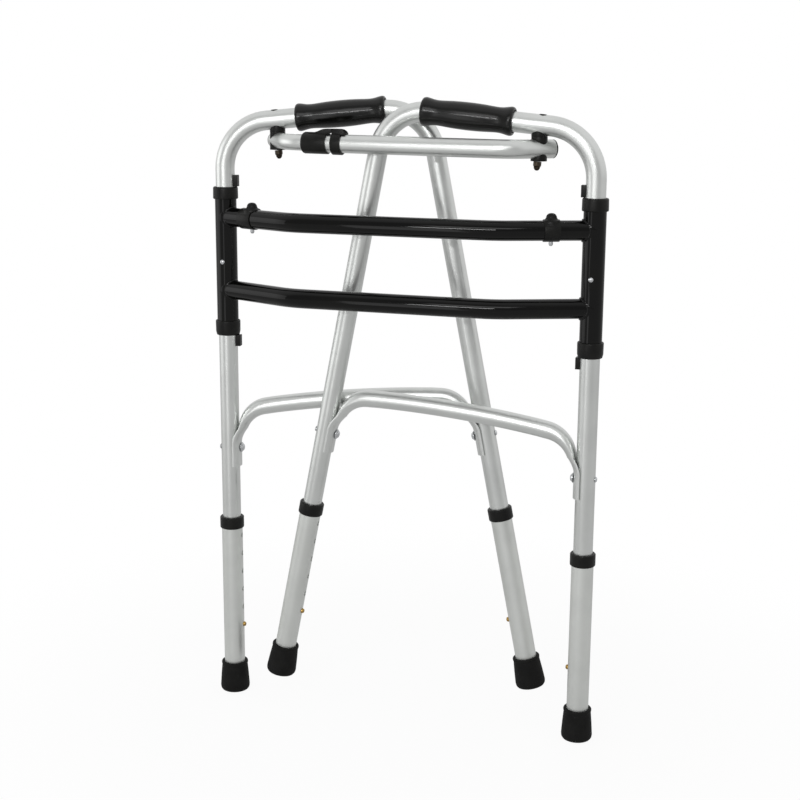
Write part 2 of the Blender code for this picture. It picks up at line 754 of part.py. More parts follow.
def frame_stops(side, main, axis):
    """The two black stops that keep the sleeve's height on the front leg, each with its peg."""
    lower_top = SLEEVE_BOTTOM - GAP - COLLAR_LIP - 0.0005
    upper_base = SLEEVE_TOP + GAP + COLLAR_LIP + 0.0005
    skin = MAIN_DIAMETER / 2
    for place, low in (("upper", upper_base), ("lower", lower_top - STOP_HEIGHT)):
        name = side + "_" + place + "_stop"
        middle = low + STOP_HEIGHT / 2
        block = box_mesh(
            name,
            (skin - 0.003, -STOP_WIDTH / 2, low),
            (skin + STOP_REACH, STOP_WIDTH / 2, low + STOP_HEIGHT),
        )
        piece = add_piece(name, block, "black_moulded_plastic", axis)
        start = (0, 0, low - 0.01)
        end = (0, 0, low + STOP_HEIGHT + 0.01)
        cylinder_cutter(piece, name + "_seat", start, end, MAIN_DIAMETER + 2 * GAP, sides=BORE_SIDES)
        inside = skin - MAIN_WALL - 0.0012
        peg = cylinder_mesh(name + "_peg", STOP_PEG_DIAMETER, skin + 0.002 - inside)
        peg_place = along((inside, 0, middle), (1, 0, middle))
        boolean(piece, add_cutter(name + "_peg", peg, axis, peg_place), "UNION")
        hole = STOP_PEG_DIAMETER + 2 * HOLE_GAP
        mesh = cylinder_mesh(name + "_peg_hole", hole, MAIN_DIAMETER)
        hole_place = along((0, 0, middle), (1, 0, middle))
        boolean(main, add_cutter(name + "_peg_hole", mesh, axis, hole_place))


def handle_grip(side, hinge):
    """The hollow grip on the handle: flared at both ends and swelling between its necks."""
    up = Vector((-math.sin(LEG_SPLAY), 0, math.cos(LEG_SPLAY)))
    turn = Matrix((up, HANDLE_LINE.cross(up), HANDLE_LINE)).transposed().to_4x4()
    centre = FRONT_CORNER + HANDLE_LINE * GRIP_CENTRES[side]
    half = GRIP_LENGTH / 2
    bore = MAIN_DIAMETER / 2 + GAP
    relief = 0.0012
    flare = GRIP_FLARE_DIAMETER / 2
    neck = GRIP_NECK_DIAMETER / 2
    belly = GRIP_BELLY_DIAMETER / 2
    neck_place = half - GRIP_FLARE_LENGTH - 0.0125
    outside = [
        (flare - 0.0030, half),
        (flare - 0.0006, half - 0.0016),
        (flare, half - 0.0042),
        (flare - 0.0006, half - GRIP_FLARE_LENGTH),
        (neck + 0.0006, neck_place + 0.0060),
        (neck, neck_place),
        (neck + 0.0006, neck_place - 0.0070),
        (belly - 0.0010, neck_place * 0.45),
        (belly, 0),
    ]
    mirrored = [(radius, -height) for radius, height in reversed(outside[:-1])]
    inside = [
        (bore, -half),
        (bore, half - 0.0160),
        (bore + relief, half),
    ]
    profile = [*outside, *mirrored, *inside]
    place = Matrix.Translation(centre) @ turn
    turned(side + "_grip", profile, "black_grip_vinyl", hinge, place, steps=SLEEVE_STEPS)


def brace(side, hinge, front_axis, rear_axis):
    """The tube between the legs, pressed at its ends into saddles that hug them, with its bolts."""
    outer, inner = brace_rings()
    piece = loft(side + "_brace", outer, inner, "anodised_aluminium", hinge)
    crest = MAIN_DIAMETER / 2 + GAP + BRACE_PRESSED_THICKNESS
    for place, axis in (("front", front_axis), ("rear", rear_axis)):
        name = side + "_" + place + "_brace"
        hole = BRACE_BOLT_DIAMETER + 2 * HOLE_GAP
        mesh = cylinder_mesh(name + "_seat_hole", hole, 0.02, sides=8)
        start = along((0.006, 0, BRACE_SEAT_HEIGHT), (1, 0, BRACE_SEAT_HEIGHT))
        boolean(piece, add_cutter(name + "_seat_hole", mesh, axis, start))
        shank = BRACE_BOLT_DIAMETER / 2
        head = BRACE_BOLT_HEAD / 2
        washer = BRACE_WASHER_DIAMETER / 2
        far = MAIN_DIAMETER / 2 + 0.0002
        cap = 0.0038
        profile = [
            (0, crest + 0.0042),
            (head - 0.0010, crest + 0.0042),
            (head, crest + 0.0034),
            (head, crest + 0.0012),
            (washer, crest + 0.0012),
            (washer, crest + 0.0002),
            (shank, crest + 0.0002),
            (shank, -far),
            (cap, -far),
            (cap - 0.0010, -far - 0.0014),
            (0, -far - 0.0020),
        ]
        across = along((0, 0, BRACE_SEAT_HEIGHT), (1, 0, BRACE_SEAT_HEIGHT))
        turned(name + "_bolt", profile, "zinc_steel", axis, across, steps=12)


def brace_rings():
    """The outer and inner rings of the brace from its front tip to its rear tip."""
    half_outer, half_inner = [], []
    radius = BRACE_DIAMETER / 2
    stand_off = MAIN_DIAMETER / 2 + GAP + radius + 0.0003
    leg_line = Vector((-math.sin(LEG_SPLAY), -math.cos(LEG_SPLAY)))
    leg_side = Vector((math.cos(LEG_SPLAY), -math.sin(LEG_SPLAY)))
    leg_foot = Vector((-FRAME_MIDDLE, 0))
    arch = [0.0, -0.045, -0.085, -0.110]
    points = [Vector((x, BRACE_CROWN - BRACE_ARCH * x * x)) for x in arch]
    entering = Vector((-1, 2 * BRACE_ARCH * arch[-1])).normalized()
    side_line = leg_foot + leg_side * stand_off
    corner = meeting(points[-1], entering, side_line, leg_line)
    turn = entering.angle(leg_line)
    reach = BRACE_BEND_RADIUS * math.tan(turn / 2)
    bend_start = corner - entering * reach
    bend_centre = bend_start + Vector((-entering.y, entering.x)) * BRACE_BEND_RADIUS
    for centre in points:
        line = Vector((-1, 2 * BRACE_ARCH * centre.x)).normalized()
        normal = Vector((-line.y, line.x))
        half_outer.append(round_section(centre, normal, radius))
        half_inner.append(round_section(centre, normal, radius - BRACE_WALL))
    edge = BRACE_BEND_RADIUS + radius
    for step, blend in enumerate(BRACE_BEND_PRESS):
        angle = turn * step / (len(BRACE_BEND_PRESS) - 1)
        inward = Matrix.Rotation(angle, 2) @ Vector((-entering.y, entering.x))
        add_pressed(half_outer, half_inner, bend_centre - inward * edge, inward, blend)
    top = (bend_centre - leg_side * BRACE_BEND_RADIUS - leg_foot).dot(-leg_line)
    flat_from = BRACE_SEAT_HEIGHT + 0.0065
    for height, blend in ((0.5 * top + 0.5 * flat_from, 0.80), (flat_from, 1.0)):
        add_pressed(half_outer, half_inner, leg_skin(leg_foot, leg_line, leg_side, height), leg_side, blend)
    tip = leg_skin(leg_foot, leg_line, leg_side, BRACE_SEAT_HEIGHT - BRACE_TAIL)
    add_pressed(half_outer, half_inner, tip, leg_side, 1.0)
    outer, inner = [], []
    for half, whole in ((half_outer, outer), (half_inner, inner)):
        for ring in reversed(half):
            whole.append([to_frame(point) for point in ring])
        for ring in half[1:]:
            whole.append([to_frame((-point[0], point[1], point[2])) for point in ring])
    return outer, inner


def meeting(first, first_line, second, second_line):
    """Where two lines of a plane meet."""
    across = second - first
    cross = first_line.x * second_line.y - first_line.y * second_line.x
    share = (across.x * second_line.y - across.y * second_line.x) / cross
    return first + first_line * share


def round_section(centre, normal, radius):
    """A round section of the brace; its first point lies on the side away from the leg."""
    ring = []
    for step in range(BRACE_SIDES):
        angle = math.tau * step / BRACE_SIDES
        place = centre + normal * radius * math.cos(angle)
        ring.append((place.x, place.y, radius * math.sin(angle)))
    return ring


def leg_skin(leg_foot, leg_line, leg_side, height):
    """The point at a height where the brace lies against its leg."""
    return leg_foot - leg_line * height + leg_side * (MAIN_DIAMETER / 2 + GAP)


def add_pressed(half_outer, half_inner, edge, inward, blend):
    """Add a section of the brace, blended from its round form to its pressed form.

    The section starts at the brace's edge next to the leg and lies inwards from it.
    """
    radius = BRACE_DIAMETER / 2
    skin = MAIN_DIAMETER / 2 + GAP
    for rings, wall in ((half_outer, 0.0), (half_inner, BRACE_WALL)):
        ring = []
        for step in range(BRACE_SIDES):
            angle = math.tau * step / BRACE_SIDES
            away = radius + (radius - wall) * math.cos(angle) + 0.0003
            depth = (radius - wall) * math.sin(angle)
            reach, wide = pressed_point(step, skin, wall)
            away = away + (reach - skin - away) * blend
            depth = depth + (wide - depth) * blend
            place = edge + inward * away
            ring.append((place.x, place.y, depth))
        rings.append(ring)


def pressed_point(step, skin, wall):
    """A point of the pressed section, as its distance from the leg's axis and its depth."""
    quarter = BRACE_SIDES // 4
    tip = BRACE_WRAP_ANGLE
    inset = 0.9 * wall / skin
    if step <= quarter:
        radius, angle = skin + BRACE_PRESSED_THICKNESS - wall, step / quarter
    elif step < 3 * quarter:
        radius, angle = skin + wall, (2 * quarter - step) / quarter
    else:
        radius, angle = skin + BRACE_PRESSED_THICKNESS - wall, (step - 4 * quarter) / quarter
    if step in (quarter, 3 * quarter):
        radius = skin + BRACE_PRESSED_THICKNESS / 2
    turn = angle * (tip - inset)
    return radius * math.cos(turn), radius * math.sin(turn)


def to_frame(point):
    """A point of the side frame from one counted from the frame's middle line."""
    return frame_point(FRAME_MIDDLE + point[0], point[1], point[2])


def pivot_place():
    """A pivot bolt's place on its side frame: square to the handle, origin at the link's height."""
    up = Vector((-math.sin(LEG_SPLAY), 0, math.cos(LEG_SPLAY)))
    turn = Matrix((HANDLE_LINE, up.cross(HANDLE_LINE), up)).transposed().to_4x4()
    return Matrix.Translation((PIVOT_DISTANCE, 0, LINK_HEIGHT)) @ turn


def handle_distance():
    """How far the handle's centre line lies above the link, along the pivot bolt."""
    above = LEG_LENGTH + PIVOT_DISTANCE * math.tan(LEG_SPLAY) - LINK_HEIGHT
    return above * math.cos(LEG_SPLAY)


def pivot_holes(side, main, axis):
    """Cut the pivot bolt's hole under the handle and the access hole above it."""
    centre = handle_distance()
    hole = PIVOT_BOLT_DIAMETER + 2 * HOLE_GAP
    mesh = cylinder_mesh(side + "_pivot_hole", hole, MAIN_DIAMETER)
    below = Matrix.Translation((0, 0, centre - MAIN_DIAMETER))
    boolean(main, add_cutter(side + "_pivot_hole", mesh, axis, below))
    mesh = cylinder_mesh(side + "_access_hole", ACCESS_HOLE_DIAMETER, MAIN_DIAMETER)
    boolean(main, add_cutter(side + "_access_hole", mesh, axis, Matrix.Translation((0, 0, centre))))


def pivot_bolt_profile(side, seat, bolt_end):
    """The pivot bolt's profile. The left one ends level with the top of the link's own saddle."""
    shank = PIVOT_BOLT_DIAMETER / 2
    if side == "left":
        top = SADDLE_FLAT_RISE[side] - 2 * GAP
        return [(0, top), (shank, top), (shank, bolt_end), (0, bolt_end)]
    head = PIVOT_HEAD_DIAMETER / 2
    return [
        (0, seat + PIVOT_HEAD_HEIGHT),
        (head, seat + PIVOT_HEAD_HEIGHT),
        (head, seat),
        (shank, seat),
        (shank, bolt_end),
        (0, bolt_end),
    ]


def pivot_hardware(side, axis, bolt_axis):
    """The bolt, the nut and the handle's saddle of a link pivot."""
    shank = PIVOT_BOLT_DIAMETER / 2
    centre = handle_distance()
    seat = centre - (MAIN_DIAMETER / 2 - MAIN_WALL) + 0.0014
    tube_radius = link_diameter(side) / 2
    tilt_room = NUT_DIAMETER / 2 * math.sin(LEG_SPLAY) + GAP
    nut_top = -tube_radius - SADDLE_BASE[side] - tilt_room
    bolt_end = nut_top - NUT_HEIGHT * 0.6
    profile = pivot_bolt_profile(side, seat, bolt_end)
    turned(side + "_pivot_bolt", profile, "zinc_steel", bolt_axis, steps=12)
    outer = NUT_DIAMETER / 2
    bore = shank + GAP
    base = nut_top - NUT_HEIGHT
    profile = [
        (outer, nut_top),
        (outer, nut_top - NUT_HEIGHT * 0.45),
        (outer - 0.0010, nut_top - NUT_HEIGHT * 0.55),
        (outer * 0.62, base + NUT_HEIGHT * 0.12),
        (outer * 0.30, base),
        (0, base),
        (0, bolt_end - 0.0008),
        (bore, bolt_end - 0.0008),
        (bore, nut_top),
    ]
    turned(side + "_acorn_nut", profile, "dark_nut_steel", bolt_axis, steps=12)
    name = side + "_handle_saddle"
    low = 0.008
    mesh = cylinder_mesh(name, SADDLE_DIAMETER, centre - low, sides=BORE_SIDES)
    piece = add_piece(name, mesh, "black_moulded_plastic", axis, Matrix.Translation((0, 0, low)))
    start = (-0.03, 0, centre)
    end = (0.03, 0, centre)
    cylinder_cutter(piece, name + "_seat", start, end, MAIN_DIAMETER + 2 * GAP, sides=BORE_SIDES)
    hole = PIVOT_BOLT_DIAMETER + 2 * HOLE_GAP
    cylinder_cutter(piece, name + "_hole", (0, 0, 0), (0, 0, centre), hole)
    flat = LINK_HEIGHT + SADDLE_FLAT_RISE[side] + GAP / 2
    mesh = box_mesh(name + "_flat", (-0.02, -0.02, flat - 0.03), (0.02, 0.02, flat))
    level = Matrix.Translation((PIVOT_DISTANCE, 0, 0))
    boolean(piece, add_cutter(name + "_flat", mesh, axis.parent, level))


def link_diameter(side):
    """The diameter of the link tube on that side."""
    return LINK_OUTER_DIAMETER if side == "right" else LINK_INNER_DIAMETER


def link_saddles(side, axis):
    """The two saddles that hold a link tube from above and from below at its pivot."""
    tube_diameter = link_diameter(side)
    radius = tube_diameter / 2
    top = SADDLE_FLAT_RISE[side] - GAP / 2
    bottom = -radius - SADDLE_BASE[side]
    split = radius * 0.22
    turn = Matrix.Rotation(link_end_turn(side), 4, "Z")
    line = turn @ Vector((0.03, 0, 0))
    for place, low, high in (("upper", split, top), ("lower", bottom, -split)):
        name = side + "_" + place + "_link_saddle"
        mesh = cylinder_mesh(name, SADDLE_DIAMETER, high - low, sides=BORE_SIDES)
        piece = add_piece(name, mesh, "black_moulded_plastic", axis, Matrix.Translation((0, 0, low)))
        cylinder_cutter(piece, name + "_seat", -line, line, tube_diameter + 2 * GAP, sides=BORE_SIDES)
        tilt_room = max(abs(low), abs(high)) * math.tan(LEG_SPLAY)
        hole = PIVOT_BOLT_DIAMETER + 2 * (tilt_room + GAP)
        cylinder_cutter(piece, name + "_hole", (0, 0, low - 0.01), (0, 0, high + 0.01), hole)


def link_end_turn(side):
    """How far a link tube's end turns from the line between the pivots: it bows forward."""
    return LINK_END_ANGLE if side == "right" else -LINK_END_ANGLE


def link_path(side, reach):
    """The path of a link tube in its own frame, from its end past the pivot to its reach."""
    bow = LINK_BOW if side == "right" else -LINK_BOW
    line = Vector((math.cos(LINK_END_ANGLE), math.copysign(math.sin(LINK_END_ANGLE), bow), 0))
    corner = line * (LINK_BOW / math.sin(LINK_END_ANGLE))
    corners = [-line * LINK_TAIL[side], corner, Vector((reach, bow, 0))]
    return rounded_path(corners, LINK_BEND_RADIUS, steps=5)


def link_tube(side, name, axis, reach):
    """One tube of the telescopic link with the bolt holes at its pivot and its end plug."""
    diameter = link_diameter(side)
    wall = LINK_OUTER_WALL if side == "right" else LINK_INNER_WALL
    points = link_path(side, reach)
    piece = tube(name, points, diameter, wall, "anodised_aluminium", axis)
    hole = PIVOT_BOLT_DIAMETER + 2 * (diameter / 2 * math.tan(LEG_SPLAY) + GAP)
    low = (0, 0, -diameter)
    high = (0, 0, diameter)
    cylinder_cutter(piece, name + "_bolt_hole", low, high, hole)
    radius = diameter / 2
    bore = radius - wall - GAP
    profile = [
        (0, PLUG_FLANGE),
        (radius - 0.0006, PLUG_FLANGE),
        (radius, PLUG_FLANGE - 0.0006),
        (radius, GAP),
        (bore, GAP),
        (bore, -PLUG_DEPTH[side]),
        (bore - PLUG_WALL, -PLUG_DEPTH[side]),
        (bore - PLUG_WALL, 0),
        (0, 0),
    ]
    end = points[0]
    outward_line = (points[0] - points[1]).normalized()
    place = along(end, end + outward_line)
    turned(side + "_link_plug", profile, "black_moulded_plastic", axis, place)
    return piece


def link_lock(axis):
    """The black lock sleeve at the mouth of the outer link tube, and the lock ring behind it."""
    skin = LINK_OUTER_DIAMETER / 2 + GAP
    outer = LOCK_SLEEVE_DIAMETER / 2
    mouth_bore = LINK_OUTER_DIAMETER / 2 - LINK_OUTER_WALL
    mouth = Matrix.Translation((LINK_MOUTH, LINK_BOW, 0)) @ Matrix.Rotation(math.pi / 2, 4, "Y")
    back = LOCK_SLEEVE_LIP - LOCK_SLEEVE_LENGTH
    profile = [
        (outer - 0.0024, LOCK_SLEEVE_LIP),
        (outer - 0.0008, LOCK_SLEEVE_LIP - 0.0010),
        (outer, LOCK_SLEEVE_LIP - 0.0030),
        (outer, back),
        (skin, back),
        (skin, GAP),
        (mouth_bore, GAP),
        (mouth_bore, LOCK_SLEEVE_LIP),
    ]
    sleeve = turned("link_lock_sleeve", profile, "black_moulded_plastic", axis, mouth, steps=SLEEVE_STEPS)
    ring_start = LINK_MOUTH - LOCK_BAND_START
    ring_end = ring_start - LOCK_BAND_WIDTH
    half = LOCK_BLOCK_WIDTH / 2
    ramp_outline = [
        (LINK_MOUTH + 0.0000, 0.0110),
        (LINK_MOUTH - 0.0060, outer - 0.0004),
        (LINK_MOUTH - 0.0110, outer + 0.0002),
        (LINK_MOUTH - 0.0190, outer + 0.0026),
        (LINK_MOUTH - 0.0270, LOCK_BLOCK_TOP - 0.0004),
        (ring_start + LOCK_RAMP_GAP, LOCK_BLOCK_TOP),
        (ring_start + LOCK_RAMP_GAP, LOCK_BLOCK_TOP - 0.0045),
        (LINK_MOUTH + back + 0.0005, skin + 0.0002),
        (LINK_MOUTH + back + 0.0040, 0.0110),
    ]
    ramp = prism("lock_ramp", ramp_outline, half)
    place = Matrix.Translation((0, LINK_BOW, 0))
    boolean(sleeve, add_cutter("lock_ramp", ramp, axis, place), "UNION")
    cylinder_cutter(
        sleeve,
        "lock_sleeve_bore",
        (LINK_MOUTH - 0.06, LINK_BOW, 0),
        (LINK_MOUTH + GAP, LINK_BOW, 0),
        2 * skin,
        sides=BORE_SIDES,
    )
    outer = LOCK_BAND_DIAMETER / 2
    profile = [
        (outer - 0.0006, -LOCK_BAND_START),
        (outer, -LOCK_BAND_START - 0.0006),
        (outer, -LOCK_BAND_START - LOCK_BAND_WIDTH + 0.0006),
        (outer - 0.0006, -LOCK_BAND_START - LOCK_BAND_WIDTH),
        (skin - 0.001, -LOCK_BAND_START - LOCK_BAND_WIDTH),
        (skin - 0.001, -LOCK_BAND_START),
    ]
    ring = turned("link_lock_ring", profile, "black_moulded_plastic", axis, mouth, steps=SLEEVE_STEPS)
    block_outline = [
        (ring_start, 0.0110),
        (ring_start, LOCK_BLOCK_TOP - 0.0008),
        (ring_start - 0.0008, LOCK_BLOCK_TOP),
        (ring_end - LOCK_BLOCK_TAIL + 0.0040, LOCK_BLOCK_TOP),
        (ring_end - LOCK_BLOCK_TAIL + 0.0006, LOCK_BLOCK_TOP - 0.0030),
        (ring_end - LOCK_BLOCK_TAIL, 0.0110),
    ]
    block = prism("lock_block", block_outline, half)
    boolean(ring, add_cutter("lock_block", block, axis, place), "UNION")
    cylinder_cutter(
        ring,
        "lock_ring_bore",
        (ring_end - 0.02, LINK_BOW, 0),
        (ring_start + 0.01, LINK_BOW, 0),
        2 * skin,
        sides=BORE_SIDES,
    )


def prism(name, outline, half):
    """A block from an outline of (x, z) points, as wide as twice the half to both sides."""
    shape = bmesh.new()
    near = [shape.verts.new((x, -half, z)) for x, z in outline]
    far = [shape.verts.new((x, half, z)) for x, z in outline]
    shape.faces.new(near)
    shape.faces.new(reversed(far))
    for index in range(len(outline)):
        following = (index + 1) % len(outline)
        shape.faces.new((near[index], far[index], far[following], near[following]))
    bmesh.ops.recalc_face_normals(shape, faces=shape.faces)
    mesh = bpy.data.meshes.new(name)
    shape.to_mesh(mesh)
    shape.free()
    return mesh


def build():
    """Make the whole walker, folded and at its lowest height."""
    front_frame()
    half = SLEEVE_SPACING / 2
    turns = {"left": LEFT_REST_ANGLE, "right": math.pi - RIGHT_REST_ANGLE}
    places = {"left": Vector((-half, 0, 0)), "right": Vector((half, 0, 0))}
    pivots = {}
    for side in ("left", "right"):
        turn = Matrix.Rotation(turns[side], 4, "Z")
        stand = Matrix.Translation(places[side]) @ turn
        hinge = empty(side + "_swing_axis", matrix=stand)
        side_frame(side, hinge, stand)
        pivots[side] = places[side] + turn @ Vector((PIVOT_DISTANCE, 0, LINK_HEIGHT))
    between = pivots["left"] - pivots["right"]
    right_turn = Matrix.Rotation(math.atan2(between.y, between.x), 4, "Z")
    left_turn = Matrix.Rotation(math.atan2(-between.y, -between.x), 4, "Z")
    right_link = empty("right_link_axis", matrix=Matrix.Translation(pivots["right"]) @ right_turn)
    left_link = empty("left_link_axis", matrix=Matrix.Translation(pivots["left"]) @ left_turn)
    link_tube("right", "link_outer_tube", right_link, LINK_MOUTH)
    link_tube("left", "link_inner_tube", left_link, LINK_INNER_REACH)
    link_lock(right_link)
    link_saddles("right", right_link)
    link_saddles("left", left_link)
    stand_on_middle()


def stand_on_middle():
    """Move the walker forward, so that the origin lies on the floor under its middle."""
    for item in (*PARTS.objects, *CUTTERS.objects):
        if item.parent is None:
            item.location.y -= FOLDED_MIDDLE


build()
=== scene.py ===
# %% [markdown]
# # A folded reciprocal walker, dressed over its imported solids
#
# The walker is a folding walking frame: two bent aluminium side frames that turn in a black
# front frame, a telescopic link between the handles, and four legs with spring buttons.
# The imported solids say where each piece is. Here every piece is modelled again with finer
# shapes, and each new piece takes the place of its solid.

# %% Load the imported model
import math

import bmesh
import bpy
from mathutils import Matrix, Vector


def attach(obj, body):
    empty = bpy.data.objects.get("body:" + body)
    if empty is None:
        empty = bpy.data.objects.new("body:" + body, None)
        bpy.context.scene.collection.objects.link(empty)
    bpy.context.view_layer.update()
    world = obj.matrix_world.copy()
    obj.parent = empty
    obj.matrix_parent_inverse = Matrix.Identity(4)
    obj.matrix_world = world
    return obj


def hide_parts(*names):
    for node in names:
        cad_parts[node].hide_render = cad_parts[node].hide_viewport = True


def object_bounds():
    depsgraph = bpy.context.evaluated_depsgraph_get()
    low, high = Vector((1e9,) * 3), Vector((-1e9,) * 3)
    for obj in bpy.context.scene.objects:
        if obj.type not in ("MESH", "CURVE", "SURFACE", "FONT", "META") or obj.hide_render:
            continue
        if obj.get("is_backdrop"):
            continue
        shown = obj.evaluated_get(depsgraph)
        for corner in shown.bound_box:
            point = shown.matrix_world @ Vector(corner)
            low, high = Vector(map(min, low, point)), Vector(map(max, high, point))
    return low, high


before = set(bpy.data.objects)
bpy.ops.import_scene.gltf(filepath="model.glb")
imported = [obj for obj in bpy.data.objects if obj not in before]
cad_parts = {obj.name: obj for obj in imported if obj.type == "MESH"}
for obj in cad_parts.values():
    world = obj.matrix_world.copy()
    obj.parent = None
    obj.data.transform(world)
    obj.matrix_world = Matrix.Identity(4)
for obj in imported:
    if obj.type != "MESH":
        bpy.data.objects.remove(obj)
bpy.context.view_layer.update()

# %% [markdown]
# ## Colours and nodes
#
# A colour is written as its sRGB hex value, as a paint card gives it, and one function turns
# it to the linear values that the shader works in. One more small function adds a node with
# its inputs and its settings, so that a material reads as a list of steps.

# %% Helpers for materials
def colour(code):
    """A colour of the form #RRGGBB as linear red, green, blue and alpha."""
    shares = [int(code[place : place + 2], 16) / 255 for place in (1, 3, 5)]
    return [s / 12.92 if s <= 0.04045 else ((s + 0.055) / 1.055) ** 2.4 for s in shares] + [1.0]


def add_node(tree, kind, inputs, **settings):
    """Add a node. An input is a value, or a pair of another node and its output's name."""
    made = tree.nodes.new(kind)
    for name, value in settings.items():
        setattr(made, name, value)
    for name, value in inputs.items():
        if isinstance(value, tuple) and isinstance(value[0], bpy.types.Node):
            tree.links.new(value[0].outputs[value[1]], made.inputs[name])
        else:
            made.inputs[name].default_value = value
    return made


def new_material(name):
    """An empty material with its nodes and its principled shader."""
    made = bpy.data.materials.new(name)
    made.use_nodes = True
    return made, made.node_tree, made.node_tree.nodes["Principled BSDF"]


print("white is", colour("#FFFFFF"))

# %% [markdown]
# ## How a pattern gets its scale
#
# A noise texture of scale 1 on Object coordinates has a grain of about one metre, so a grain
# of some millimetres needs a scale of one over that size. Each finish below has a coarse cloud,
# which lets its tone drift as handling does, and a fine grain, which varies its gloss and
# raises its surface by a real height. Noise seldom leaves its middle third, so that is spread.

# %% The pattern that every finish shares
NOISE_MIDDLE = (0.35, 0.65)
TONE_POINTS = (0.38, 0.62)
FINISHES = {}


def make_finish(name, tones, roughness, cloud_mm, grain_mm, height_mm):
    """A finish that drifts between two tones and two roughnesses."""
    FINISHES[name], tree, shader = new_material(name)
    place = add_node(tree, "ShaderNodeTexCoord", {})
    cloud, grain = [
        add_node(
            tree,
            "ShaderNodeTexNoise",
            {"Vector": (place, "Object"), "Scale": 1000 / size, "Detail": detail},
        )
        for size, detail in ((cloud_mm, 3.0), (grain_mm, 2.0))
    ]
    tone = add_node(tree, "ShaderNodeValToRGB", {"Fac": (cloud, "Fac")})
    for point, position, code in zip(tone.color_ramp.elements, TONE_POINTS, tones):
        point.position = position
        point.color = colour(code)
    names = ("From Min", "From Max", "To Min", "To Max")
    spread = dict(zip(names, NOISE_MIDDLE + roughness))
    rough = add_node(tree, "ShaderNodeMapRange", {"Value": (grain, "Fac"), **spread})
    height = {"Strength": 1.0, "Distance": height_mm / 1000, "Height": (grain, "Fac")}
    bump = add_node(tree, "ShaderNodeBump", height)
    tree.links.new(tone.outputs["Color"], shader.inputs["Base Color"])
    tree.links.new(rough.outputs["Result"], shader.inputs["Roughness"])
    tree.links.new(bump.outputs["Normal"], shader.inputs["Normal"])
    return shader


print("grain of 2 mm has scale", 1000 / 2)

# %% [markdown]
# ## Aluminium and small metal
#
# The side frames, the brace and the link are extruded aluminium tube, bright dipped and then
# anodised. That leaves a clear hard skin: soft-edged but strong highlights with a faint cloud.
# The lower legs are etched before they are anodised, so they are duller and more even.
# Bolts, pins and rivets are zinc plated steel, pale and slightly blue. The acorn nuts are steel
# with a dark oxide, and the spring buttons are turned brass, polished by use.

# %% Metals
METAL_CLOUD_MM = 45.0
METAL_GRAIN_MM = 0.9
SMOOTH_MM = 0.0010
ETCHED_MM = 0.0024
METALS = {
    "bright_anodised_aluminium": (("#DADCDA", "#E0E2E0"), (0.32, 0.40), SMOOTH_MM),
    "etched_anodised_aluminium": (("#DEE0DD", "#E4E6E3"), (0.45, 0.52), ETCHED_MM),
    "zinc_plated_steel": (("#C4C6C8", "#D4D6D8"), (0.20, 0.32), SMOOTH_MM),
    "dark_oxide_steel": (("#3A342D", "#50483E"), (0.20, 0.32), SMOOTH_MM),
    "turned_brass": (("#A58447", "#B8975A"), (0.22, 0.32), SMOOTH_MM),
}
for name, (tones, roughness, height_mm) in METALS.items():
    shader = make_finish(name, tones, roughness, METAL_CLOUD_MM, METAL_GRAIN_MM, height_mm)
    shader.inputs["Metallic"].default_value = 1.0
print("metals:", list(METALS))

# %% [markdown]
# ## Black coat, plastic, vinyl and rubber
#
# The front frame is powder coated steel tube: a thick gloss film that flows into a very slight
# orange peel. Collars, clips, spacers and the lock are moulded nylon with a satin mould texture.
# The grips are soft vinyl with a leathery grain, and the feet are dull rubber. Each has its
# tones, its roughness, the sizes of its cloud and grain and the grain's height in mm, and its
# own level of shine.

# %% Black finishes
BLACKS = {
    "gloss_powder_coat": (("#040404", "#070706"), (0.05, 0.08), 60.0, 3.0, 0.002, 0.24),
    "satin_moulded_nylon": (("#0E0E0D", "#141412"), (0.34, 0.44), 12.0, 0.6, 0.008, 0.20),
    "grained_grip_vinyl": (("#080807", "#0C0C0A"), (0.17, 0.27), 8.0, 1.3, 0.035, 0.36),
    "dull_moulded_rubber": (("#0F0F0E", "#141413"), (0.62, 0.78), 15.0, 0.8, 0.02, 0.16),
}
for name, (*pattern, shine) in BLACKS.items():
    shader = make_finish(name, *pattern)
    shader.inputs["Specular IOR Level"].default_value = shine
print("black finishes:", list(BLACKS))

# %% [markdown]
# ## Where things are
#
# Each side frame is flat. It is modelled upright with its front leg on the Z axis and its rear
# leg on the +X side, and then turned about its sleeve and moved to it. These matrices hold that
# turn and move. What slides on a rear leg hangs a little lower than on a front leg, and the
# right handle stands a millimetre lower than the left one. All sizes are in metres.

# %% The places of both side frames and their legs
HALF_WIDTH = 0.250
FRONT_LINE = -0.0116
LEG_LENGTH = 0.802
HANDLE_SPAN = 0.2737
REAR_LEG_DROP = 0.0034
SPLAY = math.radians(5.53)
SIDES = ("left", "right")
LEGS = ("front", "rear")
REST_TURN = {"left": math.radians(8.6), "right": math.radians(180.5)}
HANDLE_DROP = {"left": 0.0, "right": 0.0012}

handle_line = Vector((math.cos(SPLAY), 0, math.sin(SPLAY)))
handle_up = Vector((-math.sin(SPLAY), 0, math.cos(SPLAY)))
rear_down = Vector((math.sin(2 * SPLAY), 0, -math.cos(2 * SPLAY)))
front_corner = Vector((0, 0, LEG_LENGTH))
rear_foot = front_corner + handle_line * HANDLE_SPAN + rear_down * LEG_LENGTH


def axes(origin, along_x, along_z):
    """The matrix of a frame with that origin and those X and Z directions."""
    turn = Matrix((along_x, along_z.cross(along_x), along_z)).transposed()
    return Matrix.Translation(origin) @ turn.to_4x4()


